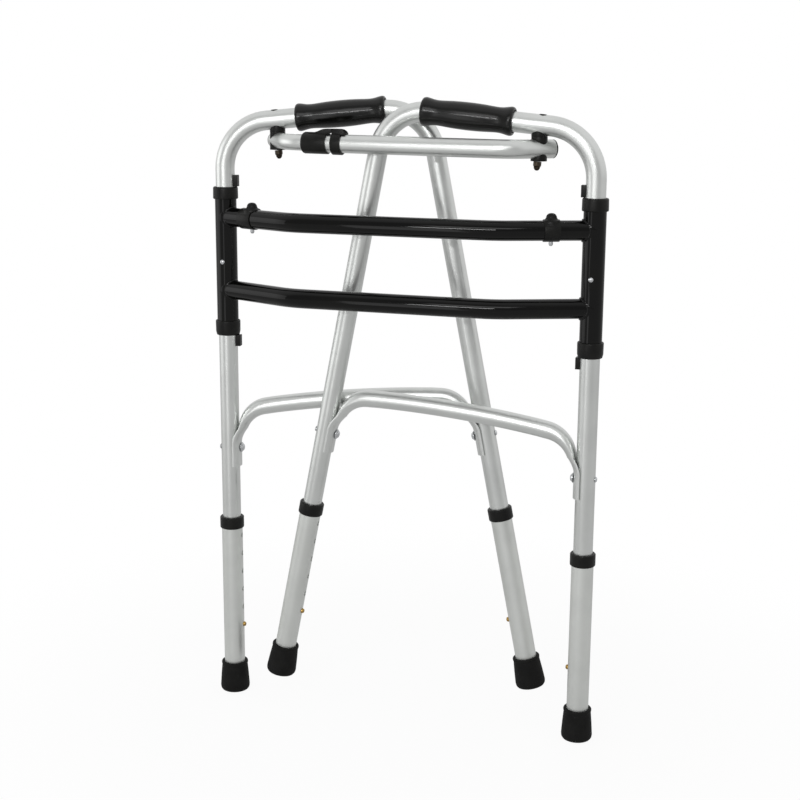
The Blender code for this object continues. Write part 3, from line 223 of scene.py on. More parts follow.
inward = Vector((-math.cos(2 * SPLAY), 0, -math.sin(2 * SPLAY)))
leg_axis = {"front": Matrix.Identity(4), "rear": axes(rear_foot, inward, -rear_down)}
slide_drop = {"front": 0, "rear": -REAR_LEG_DROP}
sleeve_place, stand, handle_stand = {}, {}, {}
leg_place, slide_place = {}, {}
for side, sign in zip(SIDES, (-1, 1)):
    sleeve_place[side] = Matrix.Translation((sign * HALF_WIDTH, FRONT_LINE, 0))
    stand[side] = sleeve_place[side] @ Matrix.Rotation(REST_TURN[side], 4, "Z")
    handle_stand[side] = Matrix.Translation((0, 0, -HANDLE_DROP[side])) @ stand[side]
    for leg in LEGS:
        name = side + "_" + leg
        leg_place[name] = stand[side] @ leg_axis[leg]
        slide_place[name] = leg_place[name] @ Matrix.Translation((0, 0, slide_drop[leg]))
print("rear foot above the floor in mm:", round(1000 * rear_foot.z, 1))

# %% [markdown]
# ## Helpers that stand for the hand's moves
#
# All pieces but the brace start from a primitive, and modifiers are applied at once. A finished
# piece has its place in its mesh, so its object stays at the origin.

# %% Edit mode, modifiers and moves
def edit_all():
    """Go to edit mode with everything selected."""
    bpy.ops.object.mode_set(mode="EDIT")
    bpy.ops.mesh.select_all(action="SELECT")


def leave_edit(close=True):
    """Go back to object mode, by default with doubles merged and all faces turned outwards."""
    if close:
        bpy.ops.mesh.select_all(action="SELECT")
        bpy.ops.mesh.remove_doubles(threshold=0.000001)
        bpy.ops.mesh.normals_make_consistent(inside=False)
    bpy.ops.object.mode_set(mode="OBJECT")


def only(piece):
    """Select one object and make it the active one."""
    bpy.ops.object.select_all(action="DESELECT")
    piece.select_set(True)
    bpy.context.view_layer.objects.active = piece


def named(name):
    """Give the object that was just added its name."""
    bpy.context.object.name = name
    return bpy.context.object


def apply_modifier(piece, name, kind, **settings):
    """Add a modifier and apply it."""
    only(piece)
    step = piece.modifiers.new(name, kind)
    for key, value in settings.items():
        setattr(step, key, value)
    bpy.ops.object.modifier_apply(modifier=step.name)
    return piece


def settle(piece, matrix):
    """Move a piece by a matrix, and put the move into its mesh."""
    only(piece)
    piece.matrix_world = matrix
    bpy.ops.object.transform_apply(location=True, rotation=True, scale=True)
    return piece


def copy_to(piece, name, matrix):
    """A copy of a piece with its own mesh, moved by a matrix."""
    only(piece)
    bpy.ops.object.duplicate()
    return settle(named(name), matrix)


print("helpers ready")

# %% [markdown]
# A tube is a circle that is extruded along its straights and spun round the centres of its
# bends, as a bender does it. A turned piece is one vertex, extruded along its profile and spun
# once round. Spin counts its angle the other way round than a rotation matrix does.

# %% Bent tubes and turned pieces
TUBE_SIDES = 48
SMALL_SIDES = 32
HOLE_SIDES = 24
SEAT_SIDES = 72
BEND_STEP = math.radians(5)
Y_AXIS = Vector((0, 1, 0))
Z_AXIS = Vector((0, 0, 1))


def extrude(move):
    """Extrude what is selected by a move."""
    bpy.ops.mesh.extrude_region_move(TRANSFORM_OT_translate={"value": move})


def extrude_along(profile):
    """Extrude what is selected along a profile of (x, z) points."""
    for before, after in zip(profile, profile[1:]):
        extrude((after[0] - before[0], 0, after[1] - before[1]))


def add_point(name, place):
    """One vertex, in edit mode: a tiny plane that is merged and moved to its place."""
    bpy.ops.object.select_all(action="DESELECT")
    bpy.ops.mesh.primitive_plane_add(size=0.001, location=(0, 0, 0))
    made = named(name)
    edit_all()
    bpy.ops.mesh.merge(type="CENTER")
    bpy.ops.transform.translate(value=place)
    return made


def add_ring(name, radius, place, line, sides=TUBE_SIDES):
    """A circle that stands square to a line."""
    turn = Vector(line).to_track_quat("Z", "Y").to_euler()
    bpy.ops.object.select_all(action="DESELECT")
    bpy.ops.mesh.primitive_circle_add(vertices=sides, radius=radius, location=place, rotation=turn)
    ring = named(name)
    bpy.ops.object.transform_apply(location=True, rotation=True, scale=True)
    return ring


def bent_tube(name, diameter, wall, place, line, course):
    """A tube along a course of straights (length,) and bends (radius, angle, axis)."""
    place, line = Vector(place), Vector(line).normalized()
    made = add_ring(name, diameter / 2, place, line)
    edit_all()
    for step in course:
        if len(step) == 1:
            extrude(line * step[0])
            place = place + line * step[0]
            continue
        radius, angle, axis = step
        centre = place + axis.cross(line) * radius
        count = max(2, round(angle / BEND_STEP))
        bpy.ops.mesh.spin(steps=count, angle=-angle, center=centre, axis=axis)
        turn = Matrix.Rotation(angle, 3, axis)
        place = centre + turn @ (place - centre)
        line = turn @ line
    leave_edit()
    return apply_modifier(made, "wall", "SOLIDIFY", thickness=wall, offset=-1.0)


def turned(name, profile, sides=TUBE_SIDES):
    """A piece turned about Z from a profile of (radius, height)."""
    made = add_point(name, (profile[0][0], 0, profile[0][1]))
    extrude_along(profile)
    bpy.ops.mesh.select_all(action="SELECT")
    once_round = {"steps": sides, "angle": math.tau, "center": (0, 0, 0), "axis": (0, 0, 1)}
    bpy.ops.mesh.spin(use_auto_merge=True, **once_round)
    leave_edit()
    return made


def turned_ring(name, profile, sides=TUBE_SIDES):
    """A turned piece with a bore: its profile comes back to its first point."""
    return turned(name, [*profile, profile[0]], sides)


print("tube sides:", TUBE_SIDES)

# %% [markdown]
# Blocks and plates are drawn the same way, and rods serve as cutters. A bevel then rounds the
# sharp edges, as a mould or a file does.

# %% Cutting and softening
def rod(name, radius, start, end, sides=TUBE_SIDES):
    """A plain rod between two points."""
    start, end = Vector(start), Vector(end)
    made = add_ring(name, radius, start, end - start, sides)
    edit_all()
    bpy.ops.mesh.edge_face_add()
    extrude(end - start)
    leave_edit()
    return made


def block(name, low, high):
    """A plain block between two corners."""
    low, high = Vector(low), Vector(high)
    bpy.ops.object.select_all(action="DESELECT")
    bpy.ops.mesh.primitive_cube_add(size=1, location=(low + high) / 2)
    made = named(name)
    edit_all()
    bpy.ops.transform.resize(value=high - low)
    leave_edit(close=False)
    bpy.ops.object.transform_apply(location=True, rotation=True, scale=True)
    return made


def slab(name, outline, half):
    """A plate from an outline of (x, z) points, as thick as twice the half along Y."""
    made = add_point(name, (outline[0][0], -half, outline[0][1]))
    extrude_along(outline)
    bpy.ops.mesh.select_all(action="SELECT")
    bpy.ops.mesh.edge_face_add()
    extrude((0, 2 * half, 0))
    leave_edit()
    return made


def boolean(piece, other, operation):
    """Cut a piece by another or join them, and remove the other."""
    apply_modifier(piece, "cut", "BOOLEAN", operation=operation, object=other, solver="EXACT")
    bpy.data.objects.remove(other)
    return piece


def bore(piece, radius, start, end, sides=TUBE_SIDES):
    """Cut a round hole between two points."""
    return boolean(piece, rod("bore", radius, start, end, sides), "DIFFERENCE")


def soften(piece, width, segments=3, angle=30):
    """Round the edges that are sharper than the angle."""
    limit = {"limit_method": "ANGLE", "angle_limit": math.radians(angle)}
    return apply_modifier(
        piece, "soft_edges", "BEVEL", width=width, segments=segments, harden_normals=False, **limit
    )


print("ready to cut")

# %% [markdown]
# A finished piece gets its finish and its shading, rides on its body, and stands for its solid.
# Where two or four pieces are alike, one is modelled as a pattern and copied to their places.

# %% Handing a piece over
def hand_over(piece, finish, body, node, angle=35):
    """Give a piece its finish and its shading, and let it stand for its solid."""
    only(piece)
    piece.data.materials.clear()
    piece.data.materials.append(FINISHES[finish])
    bpy.ops.object.shade_smooth_by_angle(angle=math.radians(angle))
    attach(piece, body)
    if node:
        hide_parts(node)
    print(piece.name, "faces:", len(piece.data.polygons))


def set_copies(pattern, places, name, finish, body, node, angle=35):
    """Hand over a copy of a pattern at each place, and remove the pattern.

    In the three names * stands for the place, such as left_rear, and @ for its side alone.
    """
    for place, matrix in places.items():
        side = place.split("_")[0]
        made_name, body_name, node_name = [
            text.replace("*", place).replace("@", side) for text in (name, body, node)
        ]
        made = copy_to(pattern, made_name, matrix)
        hand_over(made, finish, body_name, node_name, angle)
    bpy.data.objects.remove(pattern)


print("ready to build")

# %% [markdown]
# ## The side tube
#
# Front leg, handle and rear leg are one tube of 25.4 mm, bent twice round a 64 mm former. The
# same tube serves for both sides, so it is modelled once, flat, and copied. The hole on top of
# the handle lets a tool reach the link's bolt inside the tube.

# %% Side tubes
MAIN_DIAMETER = 0.0254
MAIN_RADIUS = MAIN_DIAMETER / 2
MAIN_WALL = 0.0012
MAIN_BEND = 0.064
TUBE_END = 0.070
PIVOT_DISTANCE = 0.0728
LINK_HEIGHT = 0.7795
ACCESS_HOLE = 0.0100

quarter = math.pi / 2 - SPLAY
tangent = MAIN_BEND * math.tan(quarter / 2)
leg_run = LEG_LENGTH - tangent - TUBE_END
bend = (MAIN_BEND, quarter, Y_AXIS)
course = [(leg_run,), bend, (HANDLE_SPAN - 2 * tangent,), bend, (leg_run + REAR_LEG_DROP,)]
side_tube = bent_tube("side_tube_pattern", MAIN_DIAMETER, MAIN_WALL, (0, 0, TUBE_END), Z_AXIS, course)

pivot_place = axes(Vector((PIVOT_DISTANCE, 0, LINK_HEIGHT)), handle_line, handle_up)
handle_rise = LEG_LENGTH + PIVOT_DISTANCE * math.tan(SPLAY) - LINK_HEIGHT
handle_rise = handle_rise * math.cos(SPLAY)
low, high = [pivot_place @ Vector((0, 0, handle_rise + step)) for step in (0, 0.02)]
bore(side_tube, ACCESS_HOLE / 2, low, high)
set_copies(
    side_tube, handle_stand, "*_bent_side_tube",
    "bright_anodised_aluminium", "*_side_frame", "*_side_tube",
)

# %% [markdown]
# The access hole shows dark from outside, where the tube's inside lies in shade. That shade is
# painted: a low black cap, about flush with the tube's top, sits in the hole.

# %% Dark caps that paint the shade of the access holes
shade_cap_base = handle_rise + MAIN_RADIUS
profile = [
    (0.0, shade_cap_base + 0.0006),
    (0.0038, shade_cap_base + 0.0004),
    (0.0047, shade_cap_base + 0.0001),
    (0.0049, shade_cap_base - 0.0004),
    (0.0049, shade_cap_base - 0.0026),
    (0.0, shade_cap_base - 0.0026),
]
# Painted shade: a dull black cap that makes the access hole show dark.
cap = turned("hole_shade_cap_pattern", profile, SMALL_SIDES)
places = {side: handle_stand[side] @ pivot_place for side in SIDES}
set_copies(
    cap, places, "*_access_cap", "dull_moulded_rubber", "*_side_frame", ""
)

# %% [markdown]
# ## The lower legs
#
# A wider tube slides over the foot end of each leg. It has six holes in a row on its inner
# side, and a brass button of the leg inside snaps into one of them. The holes are cut after
# the tube has its wall, so that their edges show its thickness.

# %% Lower legs
LOWER_DIAMETER = 0.0290
LOWER_RADIUS = LOWER_DIAMETER / 2
LOWER_WALL = 0.0014
LOWER_TOP = 0.2581
FOOT_FLOOR = 0.006
BUTTON_HEIGHT = 0.0988
BUTTON_DIAMETER = 0.0066
HOLE_DIAMETER = 0.0074
HOLE_PITCH = 0.0267
HOLE_COUNT = 6
GAP = 0.0003

low = FOOT_FLOOR + GAP
lower_leg = bent_tube(
    "lower_leg_pattern", LOWER_DIAMETER, LOWER_WALL, (0, 0, low), Z_AXIS, [(LOWER_TOP - low,)]
)
for index in range(HOLE_COUNT):
    height = BUTTON_HEIGHT + index * HOLE_PITCH
    bore(lower_leg, HOLE_DIAMETER / 2, (0.004, 0, height), (0.03, 0, height), HOLE_SIDES)
set_copies(
    lower_leg, slide_place, "*_drilled_leg_tube",
    "etched_anodised_aluminium", "*_leg", "*_lower_leg",
)

# %% [markdown]
# ## Leg collars
#
# The collar closes the gap between the two leg tubes: a moulded ring with a small lip over the
# wider tube's end. It is turned from a profile, and a bevel rounds its edges as the mould does.

# %% Leg collars
COLLAR_RADIUS = 0.0167
COLLAR_BOTTOM = 0.2434
COLLAR_TOP = 0.2601
LIP_RADIUS = MAIN_RADIUS + 0.00035
LOWER_SEAT = LOWER_RADIUS + GAP

profile = [
    (LIP_RADIUS, COLLAR_TOP),
    (COLLAR_RADIUS - 0.0012, COLLAR_TOP),
    (COLLAR_RADIUS, COLLAR_TOP - 0.0012),
    (COLLAR_RADIUS, COLLAR_BOTTOM + 0.0010),
    (COLLAR_RADIUS - 0.0010, COLLAR_BOTTOM),
    (LOWER_SEAT, COLLAR_BOTTOM),
    (LOWER_SEAT, LOWER_TOP + GAP),
    (LIP_RADIUS, LOWER_TOP + GAP),
]
collar = soften(turned_ring("collar_pattern", profile), width=0.0005, angle=25)
set_copies(
    collar, slide_place, "*_moulded_collar",
    "satin_moulded_nylon", "*_leg", "*_leg_collar",
)

# %% [markdown]
# ## Feet
#
# The foot is a rubber cup, slightly wider at its base, with a rolled rim and a hollow under it.
# It is turned too, and its many small edges are rounded.

# %% Feet
FOOT_HEIGHT = 0.0430
FOOT_RIM = 0.0187
FOOT_BASE = 0.0207

profile = [
    (LOWER_SEAT, FOOT_HEIGHT),
    (FOOT_RIM - 0.0008, FOOT_HEIGHT),
    (FOOT_RIM, FOOT_HEIGHT - 0.0010),
    (FOOT_RIM, FOOT_HEIGHT - 0.0034),
    (FOOT_RIM - 0.0006, FOOT_HEIGHT - 0.0046),
    (FOOT_RIM + 0.0008, 0.0235),
    (FOOT_BASE - 0.0004, 0.0120),
    (FOOT_BASE, 0.0060),
    (FOOT_BASE - 0.0005, 0.0024),
    (FOOT_BASE - 0.0022, 0.0),
    (0.0125, 0.0),
    (0.0115, 0.0012),
    (0.0, 0.0012),
    (0.0, FOOT_FLOOR),
    (LOWER_SEAT, FOOT_FLOOR),
]
foot = soften(turned_ring("foot_pattern", profile), width=0.0006, angle=12)
set_copies(
    foot, slide_place, "*_rubber_foot", "dull_moulded_rubber", "*_leg", "*_foot", 40
)

# %% [markdown]
# ## Spring buttons
#
# Inside the leg sits a leaf spring, bent over at its top, with a brass button riveted to its
# end. The button's domed head stands 3 mm out of the lower leg. The leaf is an edge that is
# extruded along its bends and then given a thickness.

# %% Spring buttons
LEAF_FACE = 0.0103
LEAF_THICK = 0.0007
LEAF_HALF = 0.0038
BUTTON_TIP = LOWER_RADIUS + 0.0032

leaf_line = [
    (LEAF_FACE, BUTTON_HEIGHT - 0.0060),
    (LEAF_FACE, BUTTON_HEIGHT + 0.0260),
    (LEAF_FACE - 0.0018, BUTTON_HEIGHT + 0.0290),
    (LEAF_FACE - 0.0050, BUTTON_HEIGHT + 0.0300),
    (LEAF_FACE - 0.0084, BUTTON_HEIGHT + 0.0286),
    (-0.0046, BUTTON_HEIGHT - 0.0040),
]
leaf = add_point("leaf_pattern", (leaf_line[0][0], -LEAF_HALF, leaf_line[0][1]))
extrude((0, 2 * LEAF_HALF, 0))
bpy.ops.mesh.select_all(action="SELECT")
extrude_along(leaf_line)
leave_edit()
apply_modifier(leaf, "leaf_thickness", "SOLIDIFY", thickness=LEAF_THICK, offset=0.0)

radius = BUTTON_DIAMETER / 2
profile = [
    (0.0, LEAF_FACE + LEAF_THICK),
    (radius, LEAF_FACE + LEAF_THICK),
    (radius, BUTTON_TIP - 0.0022),
    (radius * 0.92, BUTTON_TIP - 0.0012),
    (radius * 0.70, BUTTON_TIP - 0.0004),
    (radius * 0.38, BUTTON_TIP),
    (0.0, BUTTON_TIP),
]
button = turned("button_pattern", profile, SMALL_SIDES)
settle(button, axes(Vector((0, 0, BUTTON_HEIGHT)), Vector((0, 0, -1)), Vector((1, 0, 0))))
only(leaf)
button.select_set(True)
bpy.ops.object.join()
set_copies(
    leaf, slide_place, "*_brass_button", "turned_brass", "*_button", "*_spring_button"
)

# %% [markdown]
# ## Sleeves
#
# The upright sleeves of the front frame are short steel tubes in which the side frames turn.
# A small hole on the front of each takes its rivet.

# %% Sleeves
SLEEVE_DIAMETER = 0.0288
SLEEVE_RADIUS = SLEEVE_DIAMETER / 2
SLEEVE_WALL = 0.0013
SLEEVE_TOP = 0.7180
SLEEVE_BOTTOM = 0.5217
RIVET_HEIGHT = 0.6200
RIVET_HOLE = 0.0018

course = [(SLEEVE_TOP - SLEEVE_BOTTOM,)]
start = (0, 0, SLEEVE_BOTTOM)
sleeve = bent_tube("sleeve_pattern", SLEEVE_DIAMETER, SLEEVE_WALL, start, Z_AXIS, course)
bore(sleeve, RIVET_HOLE, (0, -0.02, RIVET_HEIGHT), (0, 0, RIVET_HEIGHT), HOLE_SIDES)
set_copies(
    sleeve, sleeve_place, "*_coated_sleeve",
    "gloss_powder_coat", "front_frame", "*_sleeve",
)

# %% [markdown]
# Moulded collars cover the sleeves' ends. They widen a little towards the open end and have a
# small lip over it, which the side tube turns in.

# %% Sleeve collars
COLLAR_OUTER = 0.0168
LIP = 0.0018
TOP_HEIGHT = 0.0163
BOTTOM_HEIGHT = 0.0200
SLEEVE_SEAT = SLEEVE_RADIUS + GAP

upper_end = SLEEVE_TOP + GAP + LIP
lower_end = SLEEVE_BOTTOM - GAP - LIP
top_base = upper_end - TOP_HEIGHT
bottom_top = lower_end + BOTTOM_HEIGHT
collar_profiles = {
    "top": [
        (LIP_RADIUS, upper_end),
        (COLLAR_OUTER - 0.0014, upper_end),
        (COLLAR_OUTER - 0.0002, upper_end - 0.0014),
        (COLLAR_OUTER, top_base + 0.0010),
        (COLLAR_OUTER - 0.0007, top_base),
        (SLEEVE_SEAT, top_base),
        (SLEEVE_SEAT, SLEEVE_TOP + GAP),
        (LIP_RADIUS, SLEEVE_TOP + GAP),
    ],
    "bottom": [
        (COLLAR_OUTER - 0.0007, bottom_top),
        (COLLAR_OUTER, bottom_top - 0.0010),
        (COLLAR_OUTER - 0.0002, lower_end + 0.0050),
        (COLLAR_OUTER - 0.0014, lower_end),
        (LIP_RADIUS, lower_end),
        (LIP_RADIUS, SLEEVE_BOTTOM - GAP),
        (SLEEVE_SEAT, SLEEVE_BOTTOM - GAP),
        (SLEEVE_SEAT, bottom_top),
    ],
}
for level, profile in collar_profiles.items():
    collar = soften(turned_ring("collar_pattern", profile), width=0.0006, angle=20)
    set_copies(
        collar, sleeve_place, f"*_{level}_moulded_cap",
        "satin_moulded_nylon", "front_frame", f"*_{level}_collar",
    )

# %% [markdown]
# The rivet's domed head shows as a bright spot on the front of each sleeve. It is turned about
# Z and then laid down, so that its axis points forward.

# %% Rivets
face = SLEEVE_RADIUS + 0.0001
profile = [
    (0.0, face + 0.0017),
    (0.0013, face + 0.0015),
    (0.0024, face + 0.0011),
    (0.0031, face + 0.0005),
    (0.0033, face),
    (0.0015, face),
    (0.0015, SLEEVE_RADIUS - SLEEVE_WALL),
    (0.0, SLEEVE_RADIUS - SLEEVE_WALL),
]
rivet = turned("rivet_pattern", profile, SMALL_SIDES)
settle(rivet, axes(Vector((0, 0, RIVET_HEIGHT)), Vector((1, 0, 0)), Vector((0, -1, 0))))
set_copies(
    rivet, sleeve_place, "*_domed_rivet",
    "zinc_plated_steel", "front_frame", "*_sleeve_rivet",
)

# %% [markdown]
# ## Cross tubes and their welds
#
# Two tubes bow forward between the sleeves. Each starts on the sleeve's axis, runs out at an
# angle, bends straight and comes back the same way, and is then coped: a cutter of the
# sleeve's size takes away what would stand inside the sleeve. The upper one also has the holes
# for the clips' pins.

# %% Cross tubes
CROSS_DIAMETER = 0.0252
CROSS_RADIUS = CROSS_DIAMETER / 2
CROSS_WALL = 0.0012
CROSS_BOW = 0.0488
CROSS_ANGLE = math.radians(23.2)
CROSS_BEND = 0.090
UPPER_CROSS = 0.6800
LOWER_CROSS = 0.5819
CLIP_OFFSET = {"left": 0.2028, "right": 0.1998}
CLIP_PIN = 0.0027

end_run = CROSS_BOW / math.sin(CROSS_ANGLE)
cross_tangent = CROSS_BEND * math.tan(CROSS_ANGLE / 2)
middle_run = 2 * (HALF_WIDTH - CROSS_BOW / math.tan(CROSS_ANGLE) - cross_tangent)
bend = (CROSS_BEND, CROSS_ANGLE, Z_AXIS)
course = [(end_run - cross_tangent,), bend, (middle_run,), bend, (end_run - cross_tangent,)]
clip_place = {}
for side, sign in zip(SIDES, (-1, 1)):
    back = (HALF_WIDTH - CLIP_OFFSET[side]) * math.tan(CROSS_ANGLE)
    spot = Vector((sign * CLIP_OFFSET[side], FRONT_LINE - back, UPPER_CROSS))
    clip_line = Vector((math.cos(CROSS_ANGLE), sign * math.sin(CROSS_ANGLE), 0))
    clip_place[side] = axes(spot, clip_line, Z_AXIS)

outward_line = Vector((math.cos(CROSS_ANGLE), -math.sin(CROSS_ANGLE), 0))
for node, height in (("upper_cross_tube", UPPER_CROSS), ("lower_cross_tube", LOWER_CROSS)):
    start = (-HALF_WIDTH, FRONT_LINE, height)
    made = bent_tube(node + "_coated", CROSS_DIAMETER, CROSS_WALL, start, outward_line, course)
    for side, sign in zip(SIDES, (-1, 1)):
        low, high = [(sign * HALF_WIDTH, FRONT_LINE, height + step) for step in (-0.03, 0.03)]
        bore(made, SLEEVE_SEAT, low, high)
        if height == UPPER_CROSS:
            low, high = [clip_place[side] @ Vector((0, 0, step)) for step in (-0.03, 0.03)]
            bore(made, CLIP_PIN + GAP, low, high, HOLE_SIDES)
    hand_over(made, "gloss_powder_coat", "front_frame", node)

# %% [markdown]
# A weld bead is a row of overlapping scales that lies in the corner between two tubes. Here it
# starts as a torus round the cross tube. Each of its points is slid along that tube until it
# meets the sleeve's round, and the ring swells and shrinks at each scale, as a bead that was
# laid by hand and then coated does. In the torus's own frame X lies across the sleeve and Z
# along the cross tube.

# %% Weld beads
BEAD_RADIUS = 0.0015
BEAD_RING = CROSS_RADIUS + 0.0004
BEAD_SCALES = 26
BEAD_SWELL = 0.14
BEAD_SEGMENTS = {"major_segments": 208, "minor_segments": 12}


def weld_bead(name, line, place):
    """A bead round a cross tube that leaves the sleeve along a line."""
    bpy.ops.object.select_all(action="DESELECT")
    bpy.ops.mesh.primitive_torus_add(
        major_radius=BEAD_RING, minor_radius=BEAD_RADIUS, **BEAD_SEGMENTS
    )
    made = named(name)
    for point in made.data.vertices:
        x, y, z = point.co
        turn = math.atan2(y, x)
        wave = BEAD_SCALES / 2 * turn + 0.4 * math.sin(3 * turn)
        swell = 1.0 + BEAD_SWELL * abs(math.sin(wave))
        ring = BEAD_RING + (math.hypot(x, y) - BEAD_RING) * swell
        x, y = ring * math.cos(turn), ring * math.sin(turn)
        across = min(abs(x), SLEEVE_RADIUS)
        reach = math.sqrt(SLEEVE_RADIUS ** 2 - across ** 2)
        point.co = (x, y, z * swell + reach + GAP)
    return settle(made, axes(place, Z_AXIS.cross(line), line))


for level, height in (("upper", UPPER_CROSS), ("lower", LOWER_CROSS)):
    for side, sign in zip(SIDES, (-1, 1)):
        line = Vector((-sign * math.cos(CROSS_ANGLE), -math.sin(CROSS_ANGLE), 0))
        place = Vector((sign * HALF_WIDTH, FRONT_LINE, height))
        bead = weld_bead(level + "_" + side + "_weld_bead", line, place)
        hand_over(bead, "gloss_powder_coat", "front_frame", None, 60)

# %% [markdown]
# ## Cross tube clips
#
# Near each end of the upper cross tube sits a moulded clip: a bell with a domed knob on top of
# the tube, and a band that wraps the tube's front. A silver pin comes through from below.
# Bell and knob are turned, the band is part of a short tube round the cross tube, and both are
# joined and cut to the cross tube's round.

# %% Clips
BAND_INWARD = {"left": -0.0072, "right": -0.0100}
BAND_OUTWARD = {"left": 0.0160, "right": 0.0098}
BAND_THICKNESS = 0.0013
knob_top = CROSS_RADIUS + 0.0091
bell = [
    (0.0, CROSS_RADIUS - 0.0080),
    (0.0119, CROSS_RADIUS - 0.0080),
    (0.0119, CROSS_RADIUS - 0.0014),
    (0.0114, CROSS_RADIUS - 0.0002),
    (0.0103, CROSS_RADIUS + 0.0007),
    (0.0085, CROSS_RADIUS + 0.0013),
    (0.0075, CROSS_RADIUS + 0.0022),
    (0.0069, CROSS_RADIUS + 0.0035),
    (0.0065, CROSS_RADIUS + 0.0051),
    (0.0057, CROSS_RADIUS + 0.0067),
    (0.0044, CROSS_RADIUS + 0.0080),
    (0.0026, CROSS_RADIUS + 0.0088),
    (0.0, knob_top),
]
pin_low = -CROSS_RADIUS - 0.0066
profile = [
    (0.0, knob_top - 0.0033),
    (CLIP_PIN, knob_top - 0.0033),
    (CLIP_PIN, pin_low + 0.0025),
    (CLIP_PIN * 0.9, pin_low + 0.0014),
    (CLIP_PIN * 0.6, pin_low + 0.0004),
    (0.0, pin_low),
]
pin = turned("pin_pattern", profile, SMALL_SIDES)
for side, sign in zip(SIDES, (-1, 1)):
    clip = turned(side + "_tube_clip", bell)
    ends = [(sign * reach[side], 0, 0) for reach in (BAND_INWARD, BAND_OUTWARD)]
    band = rod("band", CROSS_RADIUS + BAND_THICKNESS, *ends, SEAT_SIDES)
    boolean(band, block("band_back", (-0.02, 0.004, -0.03), (0.02, 0.03, 0.03)), "DIFFERENCE")
    boolean(clip, band, "UNION")
    bore(clip, CROSS_RADIUS + GAP / 2, (-0.03, 0, 0), (0.03, 0, 0), SEAT_SIDES)
    bore(clip, CLIP_PIN + GAP, (0, 0, -0.03), (0, 0, knob_top - 0.0030), HOLE_SIDES)
    soften(clip, width=0.0005, segments=2, angle=50)
    settle(clip, clip_place[side])
    hand_over(
        clip, "satin_moulded_nylon", "front_frame", side + "_cross_tube_clip"
    )
    made = copy_to(pin, side + "_silver_pin", clip_place[side])
    hand_over(made, "zinc_plated_steel", "front_frame", side + "_clip_pin")
bpy.data.objects.remove(pin)

# %% [markdown]
# ## Stops
#
# A small block sits on the front leg over each end of the sleeve and keeps the side frame at
# its height. It is a cube drawn out to size, cut to the tube's round and rounded at its edges.

# %% Stops
STOP_HALF = 0.0052
STOP_HEIGHT = 0.0150
STOP_REACH = 0.0051
STOP_GAP = 0.0005

stop_levels = {"upper": upper_end + STOP_GAP, "lower": lower_end - STOP_GAP - STOP_HEIGHT}
for level, low in stop_levels.items():
    high = low + STOP_HEIGHT
    corners = ((MAIN_RADIUS - 0.003, -STOP_HALF, low), (MAIN_RADIUS + STOP_REACH, STOP_HALF, high))
    stop = block("stop_pattern", *corners)
    bore(stop, MAIN_RADIUS + GAP / 2, (0, 0, low - 0.01), (0, 0, high + 0.01))
    soften(stop, width=0.0012, segments=4, angle=60)
    set_copies(
        stop, stand, f"*_{level}_stop_block",
        "satin_moulded_nylon", "*_side_frame", f"*_{level}_stop",
    )

# %% [markdown]
# ## Grips
#
# The grips are soft vinyl mouldings with a belly for the palm and a rolled flare at each end.
# A few rings give the profile, and subdivision makes the swelling smooth, which a person would
# otherwise do with many more rings.

# %% Grips
GRIP_CENTRE = {"left": 0.1595, "right": 0.1655}
GRIP_HALF = 0.05975

half_profile = [
    (0.0158, GRIP_HALF),
    (0.0176, GRIP_HALF - 0.0012),
    (0.0183, GRIP_HALF - 0.0042),
    (0.0176, GRIP_HALF - 0.0080),
    (0.0162, GRIP_HALF - 0.0140),
    (0.0157, GRIP_HALF - 0.0200),
    (0.0161, GRIP_HALF - 0.0280),
    (0.0171, GRIP_HALF - 0.0400),
    (0.0176, 0.0),
]
other_half = [(radius, -height) for radius, height in reversed(half_profile[:-1])]
inside = [(MAIN_RADIUS + GAP, -GRIP_HALF), (MAIN_RADIUS + GAP, 0.0), (MAIN_RADIUS + 0.0004, GRIP_HALF)]
grip = turned_ring("grip_pattern", [*half_profile, *other_half, *inside])
apply_modifier(grip, "swelling", "SUBSURF", levels=2, render_levels=2)
places = {}
for side in SIDES:
    spot = front_corner + handle_line * GRIP_CENTRE[side]
    places[side] = handle_stand[side] @ axes(spot, handle_up, handle_line)
set_copies(
    grip, places, "*_vinyl_grip",
    "grained_grip_vinyl", "*_side_frame", "*_grip", 60,
)

# %% [markdown]
# ## The brace
#
# A thinner tube arches between the legs. Its ends are bent down along the legs and pressed
# flat, so that they hug them like a saddle. Pressing can't be done with the tube's own
# operators, so this piece is lofted: each ring of points is a round section that turns step
# by step into the pressed section, which lies on the leg's round.

# %% Sections of the brace
BRACE_RADIUS = 0.0115
BRACE_WALL = 0.0012
BRACE_SEAT = 0.3605
BRACE_CROWN = 0.4192
BRACE_ARCH = 0.32
BRACE_REACH = 0.110
BRACE_BEND = 0.034
BRACE_TAIL = 0.026
BRACE_HOLE = 0.0028
PRESSED = 0.0028
WRAP = math.radians(68)
RING = 48
SKIN = MAIN_RADIUS + GAP
frame_middle = LEG_LENGTH * math.sin(SPLAY) + HANDLE_SPAN / 2
leg_line = Vector((-math.sin(SPLAY), -math.cos(SPLAY)))
leg_side = Vector((math.cos(SPLAY), -math.sin(SPLAY)))
leg_foot = Vector((-frame_middle, 0))


def pressed_point(share, wall):
    """A point of the pressed section, as its distance from the leg's axis and its depth."""
    turn = share * 4
    if turn <= 1 or turn >= 3:
        radius = SKIN + PRESSED - wall
        angle = turn if turn <= 1 else turn - 4
    else:
        radius = SKIN + wall
        angle = 2 - turn
    middle = SKIN + PRESSED / 2
    radius = middle + (radius - middle) * min(1.0, (1 - abs(angle)) * 8)
    angle = angle * (WRAP - 0.9 * wall / SKIN)
    return radius * math.cos(angle), radius * math.sin(angle)


